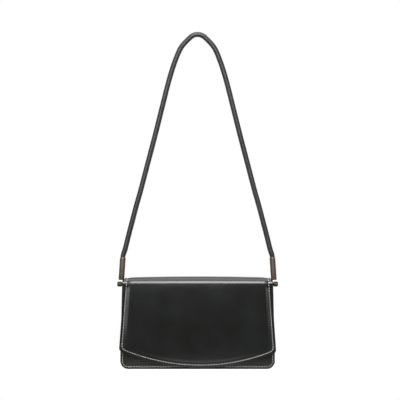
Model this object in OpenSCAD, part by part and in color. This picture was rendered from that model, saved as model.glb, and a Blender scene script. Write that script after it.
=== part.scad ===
// Flap-front baguette bag with a rolled leather strap, in millimetres.
// The bag stands on the bottom edges of its two panels at z = 0.
// +X is to the right, the front faces -Y, and +Z is up.

/* [Panels] */
// Width of the front and back panels along the bottom
panel_bottom_w = 227; // [222:1:240]
// Width of the panels along their top edge
panel_top_w = 221; // [212:1:226]
// Height of the panels
panel_h = 123; // [110:1:140]
// Radius of the panels' bottom corners
corner_r = 12; // [11:0.5:18]
// Distance between the outer faces of the two panels
body_d = 58; // [50:1:75]
// Thickness of the outer leather
leather_t = 1.4; // [1:0.1:1.8]
// Thickness of the stiffening board behind the leather
board_t = 1.2; // [1:0.1:2]
// Thickness of the lining cloth and of the facings
lining_t = 0.6; // [0.4:0.1:1]
// Height of the leather facings inside the mouth
facing_h = 20; // [12:1:30]

/* [Gusset and base] */
// Width of the gusset's seam flange, turned out behind the panel's edge
flange_w = 7.5; // [6:0.5:9]
// How far the gusset's top edge lies below the panels' top edges
gusset_drop = 4; // [2:0.5:10]
// Width of the ear that carries a strap post
ear_w = 20; // [14:1:26]
// Height of the ear above the middle of the strap post
ear_above = 7; // [6:0.5:7.5]
// Thickness of the base board
base_board_t = 1.8; // [1.2:0.1:3]
// How far inside the bottom corner the gusset is joined to the base
base_seam_in = 6; // [3:1:20]

/* [Pocket] */
// Width of the slip pocket on the back lining
pocket_w = 120; // [80:5:160]
// Height of the slip pocket
pocket_h = 70; // [50:5:80]
// Height of the pocket's bottom above the standing plane
pocket_z = 28; // [20:1:40]
// Depth of the pocket's mouth
pocket_d = 7; // [6:0.5:9]
// Thickness of the pocket leather
pocket_t = 0.8; // [0.5:0.1:1.2]

/* [Flap] */
// How far the flap's lower corners reach outside the panels' bottom corners
flap_bottom_out = 1.5; // [0:0.5:4]
// How far the flap's front fold lies inside the panels' top corners
flap_top_in = 2.5; // [1:0.5:4]
// How far in the flap's sides lie where the front fold meets the flat top
flap_shoulder_in = 5; // [5:0.5:7]
// How far in the flap's sides lie along the back fold
flap_back_in = 7; // [6.5:0.5:10]
// Height of the flap's top above the panels' top edges
flap_rise = 12; // [11.5:0.5:16]
// Outer radius of the flap's two folds
fold_r = 11; // [9:0.5:11.5]
// Gap between the flap's lining and the front panel
flap_clear = 2.6; // [2.2:0.1:4]
// Height of the flap's lowest point above the standing plane
flap_low_z = 2; // [1:0.5:10]
// Radius of the flap's curved bottom edge
flap_curve_r = 290; // [240:5:400]
// Radius of the flap's lower corners
flap_corner_r = 3.5; // [2:0.5:8]
// Thickness of the board inside the flap
flap_board_t = 1.0; // [0.8:0.1:1.6]
// Thickness of the flap's lining
flap_lining_t = 0.8; // [0.5:0.1:1.2]
// How far the flap's lining stays inside the leather's edge
flap_lining_in = 0.8; // [0.4:0.1:2]
// How far the flap's board stays inside the leather's edge
flap_board_in = 7; // [5:0.5:12]
// Height of the strip that is sewn to the back panel
flap_root_h = 22; // [14:1:40]

/* [Magnetic snap] */
// Diameter of the snap's two halves
snap_d = 18; // [14:0.5:20]
// Height of the snap above the standing plane
snap_z = 32; // [26:1:50]
// Diameter of the stub that enters the socket
snap_stub_d = 6; // [4:0.5:7]
// Gap between the closed halves
snap_gap = 0.2; // [0.1:0.1:0.4]
// Distance between the two prongs of a half
prong_span = 10; // [9:0.5:11]
// Width of a prong
prong_w = 3; // [2:0.5:4]

/* [Strap posts] */
// Height of the posts above the standing plane
post_z = 124; // [121:0.5:125]
// Diameter of the post's neck
neck_d = 3; // [2.4:0.1:3.4]
// Diameter of the post's barrel head
head_d = 7.6; // [6.5:0.1:9]
// Length of the barrel head
head_l = 7; // [4:0.5:10]
// How far outside the panels' top corners the head's inner face lies
head_out = 0.5; // [0:0.1:3.5]
// Diameter of the post's foot flange and of its nut
foot_d = 8.4; // [7:0.2:10]
// Thickness of the foot flange
foot_t = 1; // [0.8:0.1:1.5]

/* [Ferrules and rings] */
// Outer diameter of a ferrule
ferrule_d = 8.5; // [8.5:0.1:10]
// Length of a ferrule
ferrule_l = 33; // [25:1:40]
// Clearance between the strap and the ferrule's bore
ferrule_clear = 0.1; // [0.05:0.01:0.1]
// Thickness of the ferrule's closed end
ferrule_end_t = 1.2; // [0.8:0.1:2]
// Inward lean of a ferrule, in degrees
ferrule_lean = 3.8; // [3.5:0.1:4.1]
// How far outside the panels' top corners the middle of a ferrule's foot lies
ferrule_out = 1.4; // [1:0.1:2.5]
// Height of a ferrule's foot above the post's middle
ferrule_up = 6; // [5.8:0.1:6.4]
// Outer diameter of a link ring
ring_d = 7.9; // [7.6:0.1:8.2]
// Diameter of the ring's wire
ring_wire_d = 1.3; // [1:0.1:1.5]
// Turn of a ring away from square to the post, in degrees
ring_turn = 30; // [10:1:35]
// How far inside the panels' top corners a ring's centre lies
ring_in = 1.9; // [1.8:0.1:2.3]

/* [Strap] */
// Height of the strap's top above the ferrules' mouths
strap_rise = 325.6; // [200:5:400]
// Diameter of the rolled leather strap
strap_d = 7.3; // [6:0.1:7.3]
// Diameter of the strap's filler cord
strap_core_d = 4.6; // [3:0.1:5]

/* [Hidden] */

leather_black = [0.10, 0.10, 0.095];
leather_inside = [0.16, 0.15, 0.14];
cloth_black = [0.07, 0.07, 0.075];
board_grey = [0.45, 0.42, 0.38];
brass_old = [0.42, 0.34, 0.24];
steel = [0.62, 0.62, 0.62];
magnet_dark = [0.2, 0.2, 0.21];
cord_white = [0.8, 0.78, 0.72];

// Small clearances and cutting overlaps
fit = 0.3;
loose = 0.05;
over = 1;
arc_steps = 10;
curve_steps = 14;

// The flap's widths, from the panels' corners
flap_bottom_w = panel_bottom_w + 2 * flap_bottom_out;
flap_top_w = panel_top_w - 2 * flap_top_in;
flap_shoulder_w = panel_top_w - 2 * flap_shoulder_in;
flap_back_w = panel_top_w - 2 * flap_back_in;

// Front to back, from the flap's outer face to the strip sewn to the back
flap_t = leather_t + flap_board_t + flap_lining_t;
half_d = (body_d + flap_clear + flap_t + leather_t) / 2;
flap_y = -half_d;
front_y = flap_y + flap_t + flap_clear;
back_y = front_y + body_d;
mid_y = (front_y + back_y) / 2;
front_board_y = front_y + leather_t;
front_lining_y = front_board_y + board_t;
inside_front_y = front_lining_y + lining_t;
back_board_y = back_y - leather_t;
back_lining_y = back_board_y - board_t;
inside_back_y = back_lining_y - lining_t;

// Insets from the panel's outline to each layer of the side wall
wall_in = flange_w;
side_board_in = wall_in + leather_t;
side_lining_in = side_board_in + board_t;
inside_in = side_lining_in + lining_t;
panel_fill_in = side_board_in + fit;

// How far above the bottom corner the side boards start
side_board_up = 2;

// The panel's side leans inwards by this angle
side_lean = atan((panel_bottom_w - panel_top_w) / 2 / panel_h);
gusset_top = panel_h - gusset_drop;
ear_top = post_z + ear_above;
seam_x = corner_centre_x(0) - base_seam_in;
side_board_z = corner_r + side_board_up;

// The flap's top section, and the two creases that it bends at
flap_z = panel_h + flap_rise;
fold_z = flap_z - fold_r;
fold_y = half_d - fold_r;
crease_gap = 0.6;
flap_side_lean = atan((flap_bottom_w - flap_top_w) / 2 / (fold_z - flap_corner_z()));

// The snap fills the gap behind the flap, and its plates fill the boards' holes
snap_h = (flap_clear - snap_gap) / 2;
snap_hole_r = snap_d / 2 + 0.5;
stub_hole_r = snap_stub_d / 2 + 0.4;
prong_t = 0.5;
socket_plate_t = (board_t - loose) / 2;
stud_plate_t = (flap_board_t - loose) / 2;
prong_fold = 3.5;
socket_base_t = 0.3;
cap_t = 0.3;
cap_rim = 0.4;

// Strap hardware, placed from the panels' top corners
head_x = panel_top_w / 2 + head_out;
ferrule_x = panel_top_w / 2 + ferrule_out;
ring_x = panel_top_w / 2 - ring_in;
nut_t = board_t - fit / 2;
collar_r = neck_d / 2 + 1;
collar_l = 1.5;
ring_r = (ring_d - ring_wire_d) / 2;
ring_up = ring_r - ring_wire_d / 2 - neck_d / 2 - 0.1;
ring_top_z = post_z + ring_up + ring_r;
lug_w = 2.6;
lug_t = 1.6;
lug_hole_r = ring_wire_d / 2 + 0.25;
lug_under = 1.25;
rim_out = 0.25;
rim_l = 1.2;
head_edge = 0.6;
socket_r = 1.5;
socket_deep = 1.2;

// The strap's route. It leaves each ferrule along the ferrule's axis, and its leg then leans in
// by shares of the leg's start and rises by shares of the strap's rise.
strap_sides = 10;
leg_out = 2;
leg_start = ferrule_point(ferrule_l + leg_out);
strap_leg = [
    [0.972, 0.031], [0.9217, 0.0985], [0.8715, 0.163], [0.8213, 0.2275], [0.7666, 0.292],
    [0.7164, 0.3565], [0.6662, 0.421], [0.616, 0.4855], [0.5658, 0.55], [0.5156, 0.6176],
    [0.4654, 0.6851], [0.4152, 0.7527], [0.3605, 0.8203], [0.2966, 0.8848], [0.2236, 0.94],
    [0.1186, 0.98], [0.0593, 0.9953]
];
strap_half_route = concat(
    [ferrule_point(ferrule_end_t + fit), leg_start],
    [for (p = strap_leg) [p[0] * leg_start[0], leg_start[1] + p[1] * strap_rise]]
);
strap_route = concat(strap_half_route, [[0, leg_start[1] + strap_rise]],
    [for (i = [len(strap_half_route) - 1 : -1 : 0]) [-strap_half_route[i][0], strap_half_route[i][1]]]);

// A point on the right ferrule's axis, this far above its foot
function ferrule_point(up) = [
    ferrule_x - up * sin(ferrule_lean), post_z + ferrule_up + up * cos(ferrule_lean)
];

// Where the side line of the panel, moved in by inset, lies at height z
function side_x(inset, z) = panel_bottom_w / 2 - (inset + z * sin(side_lean)) / cos(side_lean);

// The centre of the bottom corner of the panel's outline
function corner_radius(inset) = max(corner_r - inset, 0.5);
function corner_centre_x(inset) = side_x(inset, inset) - corner_radius(inset) * (1 + sin(side_lean)) / cos(side_lean);

function arc(cx, cz, r, from, to, steps) =
    [for (i = [0 : steps]) let (a = from + (to - from) * i / steps) [cx + r * cos(a), cz + r * sin(a)]];

function mirrored(half) = concat(half, [for (i = [len(half) - 1 : -1 : 0]) [-half[i][0], half[i][1]]]);

// The panel's outline, moved in by inset, from its bottom up to top_z
function panel_outline(inset, top_z) = mirrored(concat(
    arc(corner_centre_x(inset), inset + corner_radius(inset), corner_radius(inset), -90, side_lean, arc_steps),
    [[side_x(inset, top_z), top_z]]));

// The flap's lower corner: where its bottom curve reaches the full width
function flap_corner_z() = flap_low_z + flap_curve_r
    - sqrt(pow(flap_curve_r, 2) - pow(flap_bottom_w / 2, 2));

// The flap's outline below the front fold, moved in by inset. A small circle rounds each corner
// between the leaning side and the bottom curve.
function flap_outline(inset, top_z) =
    let (
        lean = flap_side_lean,
        curve_z = flap_low_z + flap_curve_r,
        r = max(flap_corner_r - inset, 0.4),
        big_r = flap_curve_r - inset,
        edge_x = flap_top_w / 2 - inset / cos(lean),
        a = edge_x - r / cos(lean) - (curve_z - fold_z) * tan(lean),
        b = tan(lean),
        down = (-a * b + sqrt(pow(a * b, 2) - (1 + b * b) * (a * a - pow(big_r - r, 2)))) / (1 + b * b),
        cx = a + b * down,
        cz = curve_z - down,
        turn = atan2(cz - curve_z, cx)
    )
    mirrored(concat(
        [[edge_x + (fold_z - top_z) * tan(lean), top_z]],
        arc(cx, cz, r, lean, turn, arc_steps / 2),
        arc(0, curve_z, big_r, turn, -90, curve_steps)));

// Extrudes an outline drawn in x and z from y0 back to y1
module slab(y0, y1) {
    translate([0, y1, 0]) rotate([90, 0, 0]) linear_extrude(y1 - y0) children();
}

module panel_layer(inset, top_z, y0, y1) {
    slab(y0, y1) polygon(panel_outline(inset, top_z));
}

// The band between two insets, open at the top
module panel_band(inset, wall, top_z, y0, y1) {
    slab(y0, y1) difference() {
        polygon(panel_outline(inset, top_z));
        polygon(panel_outline(inset + wall, top_z + over));
    }
}

// Everything to the right of x0 and above z0
module right_of(x0, z0) {
    translate([x0, -body_d, z0]) cube([panel_bottom_w, 2 * body_d, 2 * panel_h]);
}

// The right gusset's part of the space: beyond the base seam, and all of the wall above it
module right_side() {
    right_of(seam_x, -over);
    right_of(panel_top_w / 4, side_board_z);
}

// The side wall's shape seen from the side: full depth up to the top edge, then the ear
module ear_profile(y0, y1, drop) {
    rotate([90, 0, 90]) linear_extrude(panel_bottom_w) {
        translate([y0, 0]) square([y1 - y0, gusset_top - drop]);
        translate([mid_y - ear_w / 2 + drop, 0]) square([ear_w - 2 * drop, ear_top - ear_w / 2]);
        translate([mid_y, ear_top - ear_w / 2]) circle(ear_w / 2 - drop, $fn = 60);
    }
}

// Local frame on the outside of the right wall at the post: z points out of the wall
module at_post() {
    translate([side_x(wall_in, post_z), mid_y, post_z]) rotate([0, 90 - side_lean, 0]) children();
}

module left() {
    mirror([1, 0, 0]) children();
}

// Front and back
module prong_slots(y0, y1) {
    for (side = [-1, 1])
        translate([side * prong_span / 2 - prong_t / 2 - loose, y0, snap_z - prong_w / 2 - loose])
            cube([prong_t + 2 * loose, y1 - y0, prong_w + 2 * loose]);
}

module front_panel() {
    color(leather_black) difference() {
        panel_layer(0, panel_h, front_y, front_board_y);
        prong_slots(front_y - over, front_board_y + over);
    }
}

module front_board() {
    color(board_grey) difference() {
        panel_layer(panel_fill_in, panel_h - fit, front_board_y, front_lining_y);
        translate([0, front_board_y - over, snap_z]) rotate([-90, 0, 0])
            cylinder(r = snap_hole_r, h = board_t + 2 * over, $fn = 60);
    }
}

module front_lining() {
    color(cloth_black) panel_layer(panel_fill_in, panel_h - facing_h, front_lining_y, inside_front_y);
}

module facing(y0, y1) {
    color(leather_inside) intersection() {
        panel_layer(panel_fill_in, panel_h - fit, y0, y1);
        translate([-panel_bottom_w, y0 - over, panel_h - facing_h])
            cube([2 * panel_bottom_w, body_d, facing_h]);
    }
}

module front_facing() { facing(front_lining_y, inside_front_y); }

module back_panel() { color(leather_black) panel_layer(0, panel_h, back_board_y, back_y); }

module back_board() {
    color(board_grey) panel_layer(panel_fill_in, panel_h - fit, back_lining_y, back_board_y);
}

module back_lining() {
    color(cloth_black) panel_layer(panel_fill_in, panel_h - facing_h, inside_back_y, back_lining_y);
}

module back_facing() { facing(inside_back_y, back_lining_y); }

// Sides: each gusset is a wall with a seam flange turned out behind either panel
module gusset_flanges() {
    panel_band(0, wall_in + leather_t, panel_h, front_board_y, front_board_y + leather_t);
    panel_band(0, wall_in + leather_t, panel_h, back_board_y - leather_t, back_board_y);
}

module side_gusset_right() {
    color(leather_black) difference() {
        union() {
            intersection() {
                gusset_flanges();
                right_side();
            }
            intersection() {
                panel_band(wall_in, leather_t, ear_top + over, front_board_y, back_board_y);
                ear_profile(front_board_y, back_board_y, 0);
                right_side();
            }
        }
        at_post() translate([0, 0, -leather_t - over])
            cylinder(d = neck_d + 2 * loose, h = leather_t + 2 * over, $fn = 40);
    }
}

module side_gusset_left() { left() side_gusset_right(); }

module gusset_board_right() {
    color(board_grey) difference() {
        intersection() {
            panel_band(side_board_in, board_t, ear_top + over, inside_front_y, inside_back_y);
            ear_profile(inside_front_y, inside_back_y, over);
            right_of(panel_top_w / 4, side_board_z);
        }
        at_post() translate([0, 0, -leather_t - board_t - over])
            cylinder(r = foot_d / 2 + fit, h = board_t + 2 * over, $fn = 60);
    }
}

module gusset_board_left() { left() gusset_board_right(); }

module gusset_lining_right() {
    color(cloth_black) intersection() {
        panel_band(side_lining_in, lining_t, ear_top + over, inside_front_y, inside_back_y);
        ear_profile(inside_front_y, inside_back_y, over / 2);
        right_of(panel_top_w / 4, side_board_in + base_board_t + lining_t);
    }
}

module gusset_lining_left() { left() gusset_lining_right(); }

// Base
module base_gusset() {
    color(leather_black) difference() {
        union() {
            gusset_flanges();
            panel_band(wall_in, leather_t, panel_h, front_board_y, back_board_y);
        }
        right_side();
        left() right_side();
        translate([-panel_bottom_w, -body_d, side_board_in]) cube([2 * panel_bottom_w, 2 * body_d, ear_top]);
    }
}

module base_sheet(half_w, z0, thick) {
    translate([-half_w, inside_front_y, z0]) cube([2 * half_w, inside_back_y - inside_front_y, thick]);
}

module base_board() {
    color(board_grey) base_sheet(corner_centre_x(side_board_in), side_board_in, base_board_t);
}

module base_lining() {
    color(cloth_black) base_sheet(corner_centre_x(side_board_in), side_board_in + base_board_t, lining_t);
}

// The pocket leans off the back lining and is closed by a cheek at either side
module pocket_wedge(w, y_foot, y_mouth, z0, z1, y_back) {
    rotate([90, 0, 90]) translate([0, 0, -w / 2]) linear_extrude(w)
        polygon([[y_back, z0], [y_back, z1], [y_mouth, z1], [y_foot, z0]]);
}

module slip_pocket() {
    top = pocket_z + pocket_h;
    rise = pocket_d / pocket_h;
    color(leather_inside) difference() {
        pocket_wedge(pocket_w, inside_back_y - pocket_t, inside_back_y - pocket_t - pocket_d,
            pocket_z, top, inside_back_y);
        pocket_wedge(pocket_w - 2 * pocket_t, inside_back_y, inside_back_y - pocket_d - over * rise,
            pocket_z, top + over, inside_back_y + over);
    }
}

// Strap posts: a turned post riveted through the ear, and its nut behind the leather
module strap_post_right() {
    foot_x = side_x(wall_in, post_z);
    color(brass_old) {
        at_post() cylinder(d = foot_d, h = foot_t, $fn = 60);
        at_post() translate([0, 0, -leather_t - nut_t]) cylinder(d = neck_d, h = leather_t + nut_t + foot_t, $fn = 40);
        translate([foot_x, mid_y, post_z]) rotate([0, 90, 0]) {
            translate([0, 0, foot_t / 2]) cylinder(r = collar_r, h = foot_t / 2 + collar_l, $fn = 48);
            translate([0, 0, foot_t / 2]) cylinder(d = neck_d, h = head_x - foot_x, $fn = 40);
        }
        translate([head_x, mid_y, post_z]) rotate([0, 90, 0]) difference() {
            rotate_extrude($fn = 60) polygon([
                [0, 0], [head_d / 2 - head_edge, 0], [head_d / 2, head_edge],
                [head_d / 2, head_l - head_edge], [head_d / 2 - head_edge, head_l], [0, head_l]
            ]);
            translate([0, 0, head_l - socket_deep]) cylinder(r = socket_r, h = socket_deep + over, $fn = 6);
        }
    }
}

module strap_post_left() { left() strap_post_right(); }

module post_nut_right() {
    color(brass_old) at_post() translate([0, 0, -leather_t - nut_t]) difference() {
        cylinder(d = foot_d, h = nut_t, $fn = 60);
        translate([0, 0, -over]) cylinder(d = neck_d + 2 * loose, h = nut_t + 2 * over, $fn = 40);
    }
}

module post_nut_left() { left() post_nut_right(); }

// Magnetic snap: the socket's cap holds a ring magnet on a base whose prongs pass the panel
module prongs(y0, y1, fold_thick) {
    for (side = [-1, 1]) translate([side * prong_span / 2, 0, snap_z]) {
        translate([-prong_t / 2, y0, -prong_w / 2]) cube([prong_t, y1 - y0, prong_w]);
        translate([side > 0 ? -prong_t / 2 : prong_t / 2 - prong_fold, y1 - fold_thick, -prong_w / 2])
            cube([prong_fold, fold_thick, prong_w]);
    }
}

module disc(y0, r, h) {
    translate([0, y0, snap_z]) rotate([-90, 0, 0]) cylinder(r = r, h = h, $fn = 60);
}

module snap_socket() {
    color(brass_old) difference() {
        disc(front_y - snap_h, snap_d / 2, snap_h);
        disc(front_y - snap_h + cap_t, snap_d / 2 - cap_rim, snap_h);
        disc(front_y - snap_h - over, stub_hole_r, snap_h + 2 * over);
    }
}

module snap_socket_base() {
    color(steel) {
        difference() {
            disc(front_y - socket_base_t, snap_d / 2 - cap_rim - loose, socket_base_t);
            disc(front_y - socket_base_t - over, stub_hole_r, socket_base_t + 2 * over);
        }
        prongs(front_y - socket_base_t, front_board_y + 2 * socket_plate_t, socket_plate_t);
    }
}

module snap_magnet() {
    color(magnet_dark) difference() {
        disc(front_y - snap_h + cap_t, snap_d / 2 - cap_rim - loose, snap_h - cap_t - socket_base_t);
        disc(front_y - snap_h, stub_hole_r, snap_h);
    }
}

module snap_socket_plate() {
    color(steel) difference() {
        disc(front_board_y, snap_d / 2, socket_plate_t);
        prong_slots(front_board_y - over, front_board_y + socket_plate_t + over);
    }
}

module snap_stud() {
    stud_y = front_y - flap_clear;
    color(brass_old) {
        disc(stud_y, snap_d / 2, snap_h);
        disc(stud_y, snap_stub_d / 2, snap_h + snap_gap + snap_h - cap_t);
        mirror([0, 1, 0]) prongs(-stud_y, -stud_y + flap_lining_t + 2 * stud_plate_t, stud_plate_t);
    }
}

module snap_stud_plate() {
    plate_y = front_y - flap_clear - flap_lining_t - stud_plate_t;
    color(steel) difference() {
        disc(plate_y, snap_d / 2, stud_plate_t);
        prong_slots(plate_y - over, plate_y + stud_plate_t + over);
    }
}

// Flap: a strip sewn to the back, a top section with both folds, and the front
module fold_slab(r) {
    translate([-fold_y, fold_z]) square([2 * fold_y, r]);
    for (side = [-1, 1]) intersection() {
        translate([side * fold_y, fold_z]) circle(r, $fn = 120);
        translate([-half_d - over, fold_z]) square([2 * (half_d + over), 2 * fold_r]);
    }
}

// Its width narrows over the front fold, and then a little more towards the back fold
module top_section(outer_r, inner_r, inset) {
    half = [[flap_top_w / 2 - inset, -half_d], [flap_shoulder_w / 2 - inset, -fold_y],
        [flap_back_w / 2 - inset, fold_y], [flap_back_w / 2 - inset, half_d + over]];
    intersection() {
        rotate([90, 0, 90]) translate([0, 0, -flap_bottom_w / 2]) linear_extrude(flap_bottom_w)
            difference() {
                fold_slab(outer_r);
                fold_slab(inner_r);
            }
        linear_extrude(flap_z + over) polygon(mirrored(half));
    }
}

module flap_leather_back() {
    color(leather_black)
        translate([-flap_back_w / 2, back_y, panel_h - flap_root_h])
            cube([flap_back_w, leather_t, fold_z - crease_gap - panel_h + flap_root_h]);
}

module flap_leather_top() { color(leather_black) top_section(fold_r, fold_r - leather_t, 0); }

module flap_lining_top() {
    color(leather_inside) top_section(fold_r - leather_t, fold_r - leather_t - flap_lining_t, flap_lining_in);
}

module flap_layer(inset, y0, thick) {
    slab(y0, y0 + thick) polygon(flap_outline(inset, fold_z - crease_gap));
}

module flap_leather_front() { color(leather_black) flap_layer(0, flap_y, leather_t); }

module flap_board() {
    color(board_grey) difference() {
        flap_layer(flap_board_in, flap_y + leather_t, flap_board_t);
        disc(flap_y, snap_hole_r, flap_t);
    }
}

module flap_lining_front() {
    color(leather_inside) difference() {
        flap_layer(flap_lining_in, flap_y + leather_t + flap_board_t, flap_lining_t);
        prong_slots(flap_y + leather_t, flap_y + flap_t + over);
    }
}

// Strap: a leather tube rolled round a filler cord, swept along the route
function unit(v) = v / norm(v);
function heading(i) = unit(strap_route[min(i + 1, len(strap_route) - 1)] - strap_route[max(i - 1, 0)]);
function strap_ring_points(i, r) =
    let (p = strap_route[i], t = heading(i))
    [for (k = [0 : strap_sides - 1]) let (a = 360 * k / strap_sides)
        [p[0] - t[1] * r * cos(a), mid_y + r * sin(a), p[1] + t[0] * r * cos(a)]];
function skin(start, flip) = [
    for (i = [0 : len(strap_route) - 2], k = [0 : strap_sides - 1])
        let (
            k2 = (k + 1) % strap_sides,
            a = start + i * strap_sides + k, b = start + i * strap_sides + k2,
            c = a + strap_sides, d = b + strap_sides
        )
        each flip ? [[a, c, b], [b, c, d]] : [[a, b, c], [b, d, c]]
];
strap_rings = len(strap_route);

module strap_leather() {
    outer = [for (i = [0 : strap_rings - 1]) each strap_ring_points(i, strap_d / 2)];
    inner = [for (i = [0 : strap_rings - 1]) each strap_ring_points(i, strap_core_d / 2 + loose)];
    shift = len(outer);
    last = (strap_rings - 1) * strap_sides;
    ends = [for (k = [0 : strap_sides - 1]) let (k2 = (k + 1) % strap_sides)
        each [
            [k, shift + k, k2], [k2, shift + k, shift + k2],
            [last + k, last + k2, shift + last + k], [last + k2, shift + last + k2, shift + last + k]
        ]];
    color(leather_black) polyhedron(concat(outer, inner), concat(skin(0, false), skin(shift, true), ends));
}

module strap_core() {
    points = [for (i = [0 : strap_rings - 1]) each strap_ring_points(i, strap_core_d / 2)];
    last = (strap_rings - 1) * strap_sides;
    ends = [
        [for (k = [strap_sides - 1 : -1 : 0]) k],
        [for (k = [0 : strap_sides - 1]) last + k]
    ];
    color(cord_white) polyhedron(points, concat(skin(0, false), ends));
}

// Ferrules and rings: the ring hooks the lug under the ferrule round the post's neck
module ferrule_right() {
    bore_r = strap_d / 2 + ferrule_clear;
    foot = ferrule_point(0);
    color(brass_old) {
        translate([foot[0], mid_y, foot[1]]) rotate([0, -ferrule_lean, 0]) difference() {
            union() {
                cylinder(d = ferrule_d, h = ferrule_l, $fn = 72);
                translate([0, 0, ferrule_l - rim_l]) cylinder(d = ferrule_d + 2 * rim_out, h = rim_l, $fn = 72);
            }
            translate([0, 0, ferrule_end_t]) cylinder(r = bore_r, h = ferrule_l, $fn = 72);
        }
        translate([ring_x, mid_y, ring_top_z]) rotate([0, 0, ring_turn]) difference() {
            translate([-lug_w / 2, -lug_t / 2, -lug_under])
                cube([lug_w, lug_t, foot[1] + ferrule_end_t / 2 - ring_top_z + lug_under]);
            rotate([90, 0, 0]) translate([0, 0, -lug_t]) cylinder(r = lug_hole_r, h = 2 * lug_t, $fn = 40);
        }
    }
}

module ferrule_left() { left() ferrule_right(); }

module strap_ring_right() {
    color(brass_old) translate([ring_x, mid_y, post_z + ring_up]) rotate([0, 0, ring_turn]) rotate([0, 90, 0])
        rotate_extrude($fn = 60) translate([ring_r, 0]) circle(d = ring_wire_d, $fn = 24);
}

module strap_ring_left() { left() strap_ring_right(); }

front_panel();
front_board();
front_facing();
front_lining();
back_panel();
back_board();
back_facing();
back_lining();
side_gusset_left();
side_gusset_right();
gusset_board_left();
gusset_board_right();
gusset_lining_left();
gusset_lining_right();
base_gusset();
base_board();
base_lining();
slip_pocket();
strap_post_left();
strap_post_right();
post_nut_left();
post_nut_right();
snap_socket();
snap_socket_base();
snap_magnet();
snap_socket_plate();
flap_leather_back();
flap_leather_top();
flap_lining_top();
flap_leather_front();
flap_board();
flap_lining_front();
snap_stud();
snap_stud_plate();
strap_leather();
strap_core();
ferrule_left();
ferrule_right();
strap_ring_left();
strap_ring_right();
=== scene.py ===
"""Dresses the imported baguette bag: leather, lining, stitching, brass, stage and camera."""

from __future__ import annotations

import logging
import math
from contextlib import contextmanager
from dataclasses import dataclass
from enum import Enum
from typing import Callable, Iterator, Sequence

import bpy
from mathutils import Matrix, Vector

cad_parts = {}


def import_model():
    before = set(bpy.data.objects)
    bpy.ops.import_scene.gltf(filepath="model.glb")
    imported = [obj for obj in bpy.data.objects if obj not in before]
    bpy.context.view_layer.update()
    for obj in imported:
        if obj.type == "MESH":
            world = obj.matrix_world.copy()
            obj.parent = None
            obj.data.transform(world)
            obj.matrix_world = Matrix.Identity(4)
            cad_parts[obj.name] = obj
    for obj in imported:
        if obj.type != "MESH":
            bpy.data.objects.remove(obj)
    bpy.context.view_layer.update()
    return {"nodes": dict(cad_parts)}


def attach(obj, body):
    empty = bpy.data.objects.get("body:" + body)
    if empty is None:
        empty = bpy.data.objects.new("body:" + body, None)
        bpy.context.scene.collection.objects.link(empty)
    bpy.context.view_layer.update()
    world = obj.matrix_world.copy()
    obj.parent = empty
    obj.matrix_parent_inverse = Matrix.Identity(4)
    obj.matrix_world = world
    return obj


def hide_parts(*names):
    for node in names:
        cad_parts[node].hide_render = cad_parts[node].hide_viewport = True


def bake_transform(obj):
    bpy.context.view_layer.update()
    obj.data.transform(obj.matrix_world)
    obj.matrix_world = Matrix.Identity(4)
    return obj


log = logging.getLogger("baguette_bag")

MM = 0.001
Obj = bpy.types.Object
Point = tuple[float, float, float]
Rows = list[list[Point]]
Colour = tuple[float, float, float]
Profile = Sequence[tuple[float, float]]
Line = list[tuple[Vector, Vector]]
Surface = Callable[[float, float], float]


def smooth(low: float, high: float, value: float) -> float:
    """Rises smoothly from 0 at low to 1 at high, whichever of the two is larger."""
    t = min(1.0, max(0.0, (value - low) / (high - low)))
    return t * t * (3 - 2 * t)


def spread(low: float, high: float, count: int) -> list[float]:
    """Returns count evenly spaced numbers from low to high, both included."""
    return [low + (high - low) * i / (count - 1) for i in range(count)]


def bell(distance: float, width: float) -> float:
    """Returns the height of a bell curve of that width: 1 in its middle."""
    return math.exp(-((distance / width) ** 2))


def arch(share: float) -> float:
    """Returns 1 in the middle of a span and 0 at its ends, where share is -1 and 1."""
    return math.cos(share * math.pi / 2)


def pressed_in(distance: float, depth: float = 0.16, width: float = 0.6) -> float:
    """Returns how deep a row of stitches presses a hide in, at a distance from the row."""
    return depth * bell(distance, width)


def level_line(reach: float, y: float, z: float, out: float, count: int) -> Line:
    """Returns a level seam of count places across the bag, whose normals are out along y."""
    return [(Vector((x, y, z)), Vector((0, out, 0))) for x in spread(-reach, reach, count)]


class Wire:
    """A shader socket in an expression, where every operator adds a Math node."""

    def __init__(self, board: NodeBoard, socket: bpy.types.NodeSocket | None) -> None:
        """Keeps the socket and the board that it is on."""
        self.board = board
        self.socket = socket

    def _maths(self, operation: str, a: object, b: object) -> Wire:
        """Adds one Math node with two numbers or wires, and returns its result."""
        return self.board.node("ShaderNodeMath", {"operation": operation}, {0: a, 1: b})

    def __add__(self, other: object) -> Wire:
        """Returns this plus other."""
        return self._maths("ADD", self, other)

    def __rsub__(self, other: object) -> Wire:
        """Returns other minus this."""
        return self._maths("SUBTRACT", other, self)

    def __mul__(self, other: object) -> Wire:
        """Returns this times other."""
        return self._maths("MULTIPLY", self, other)

    def at_least(self, other: object) -> Wire:
        """Returns the larger of this and other."""
        return self._maths("MAXIMUM", self, other)

    def wave(self, length_mm: float) -> Wire:
        """Returns a sine of this, in metres, that swings from 0 to 1 over that length."""
        return self._maths("SINE", self * (2 * math.pi / (length_mm * MM)), 0.0) * 0.5 + 0.5


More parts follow.
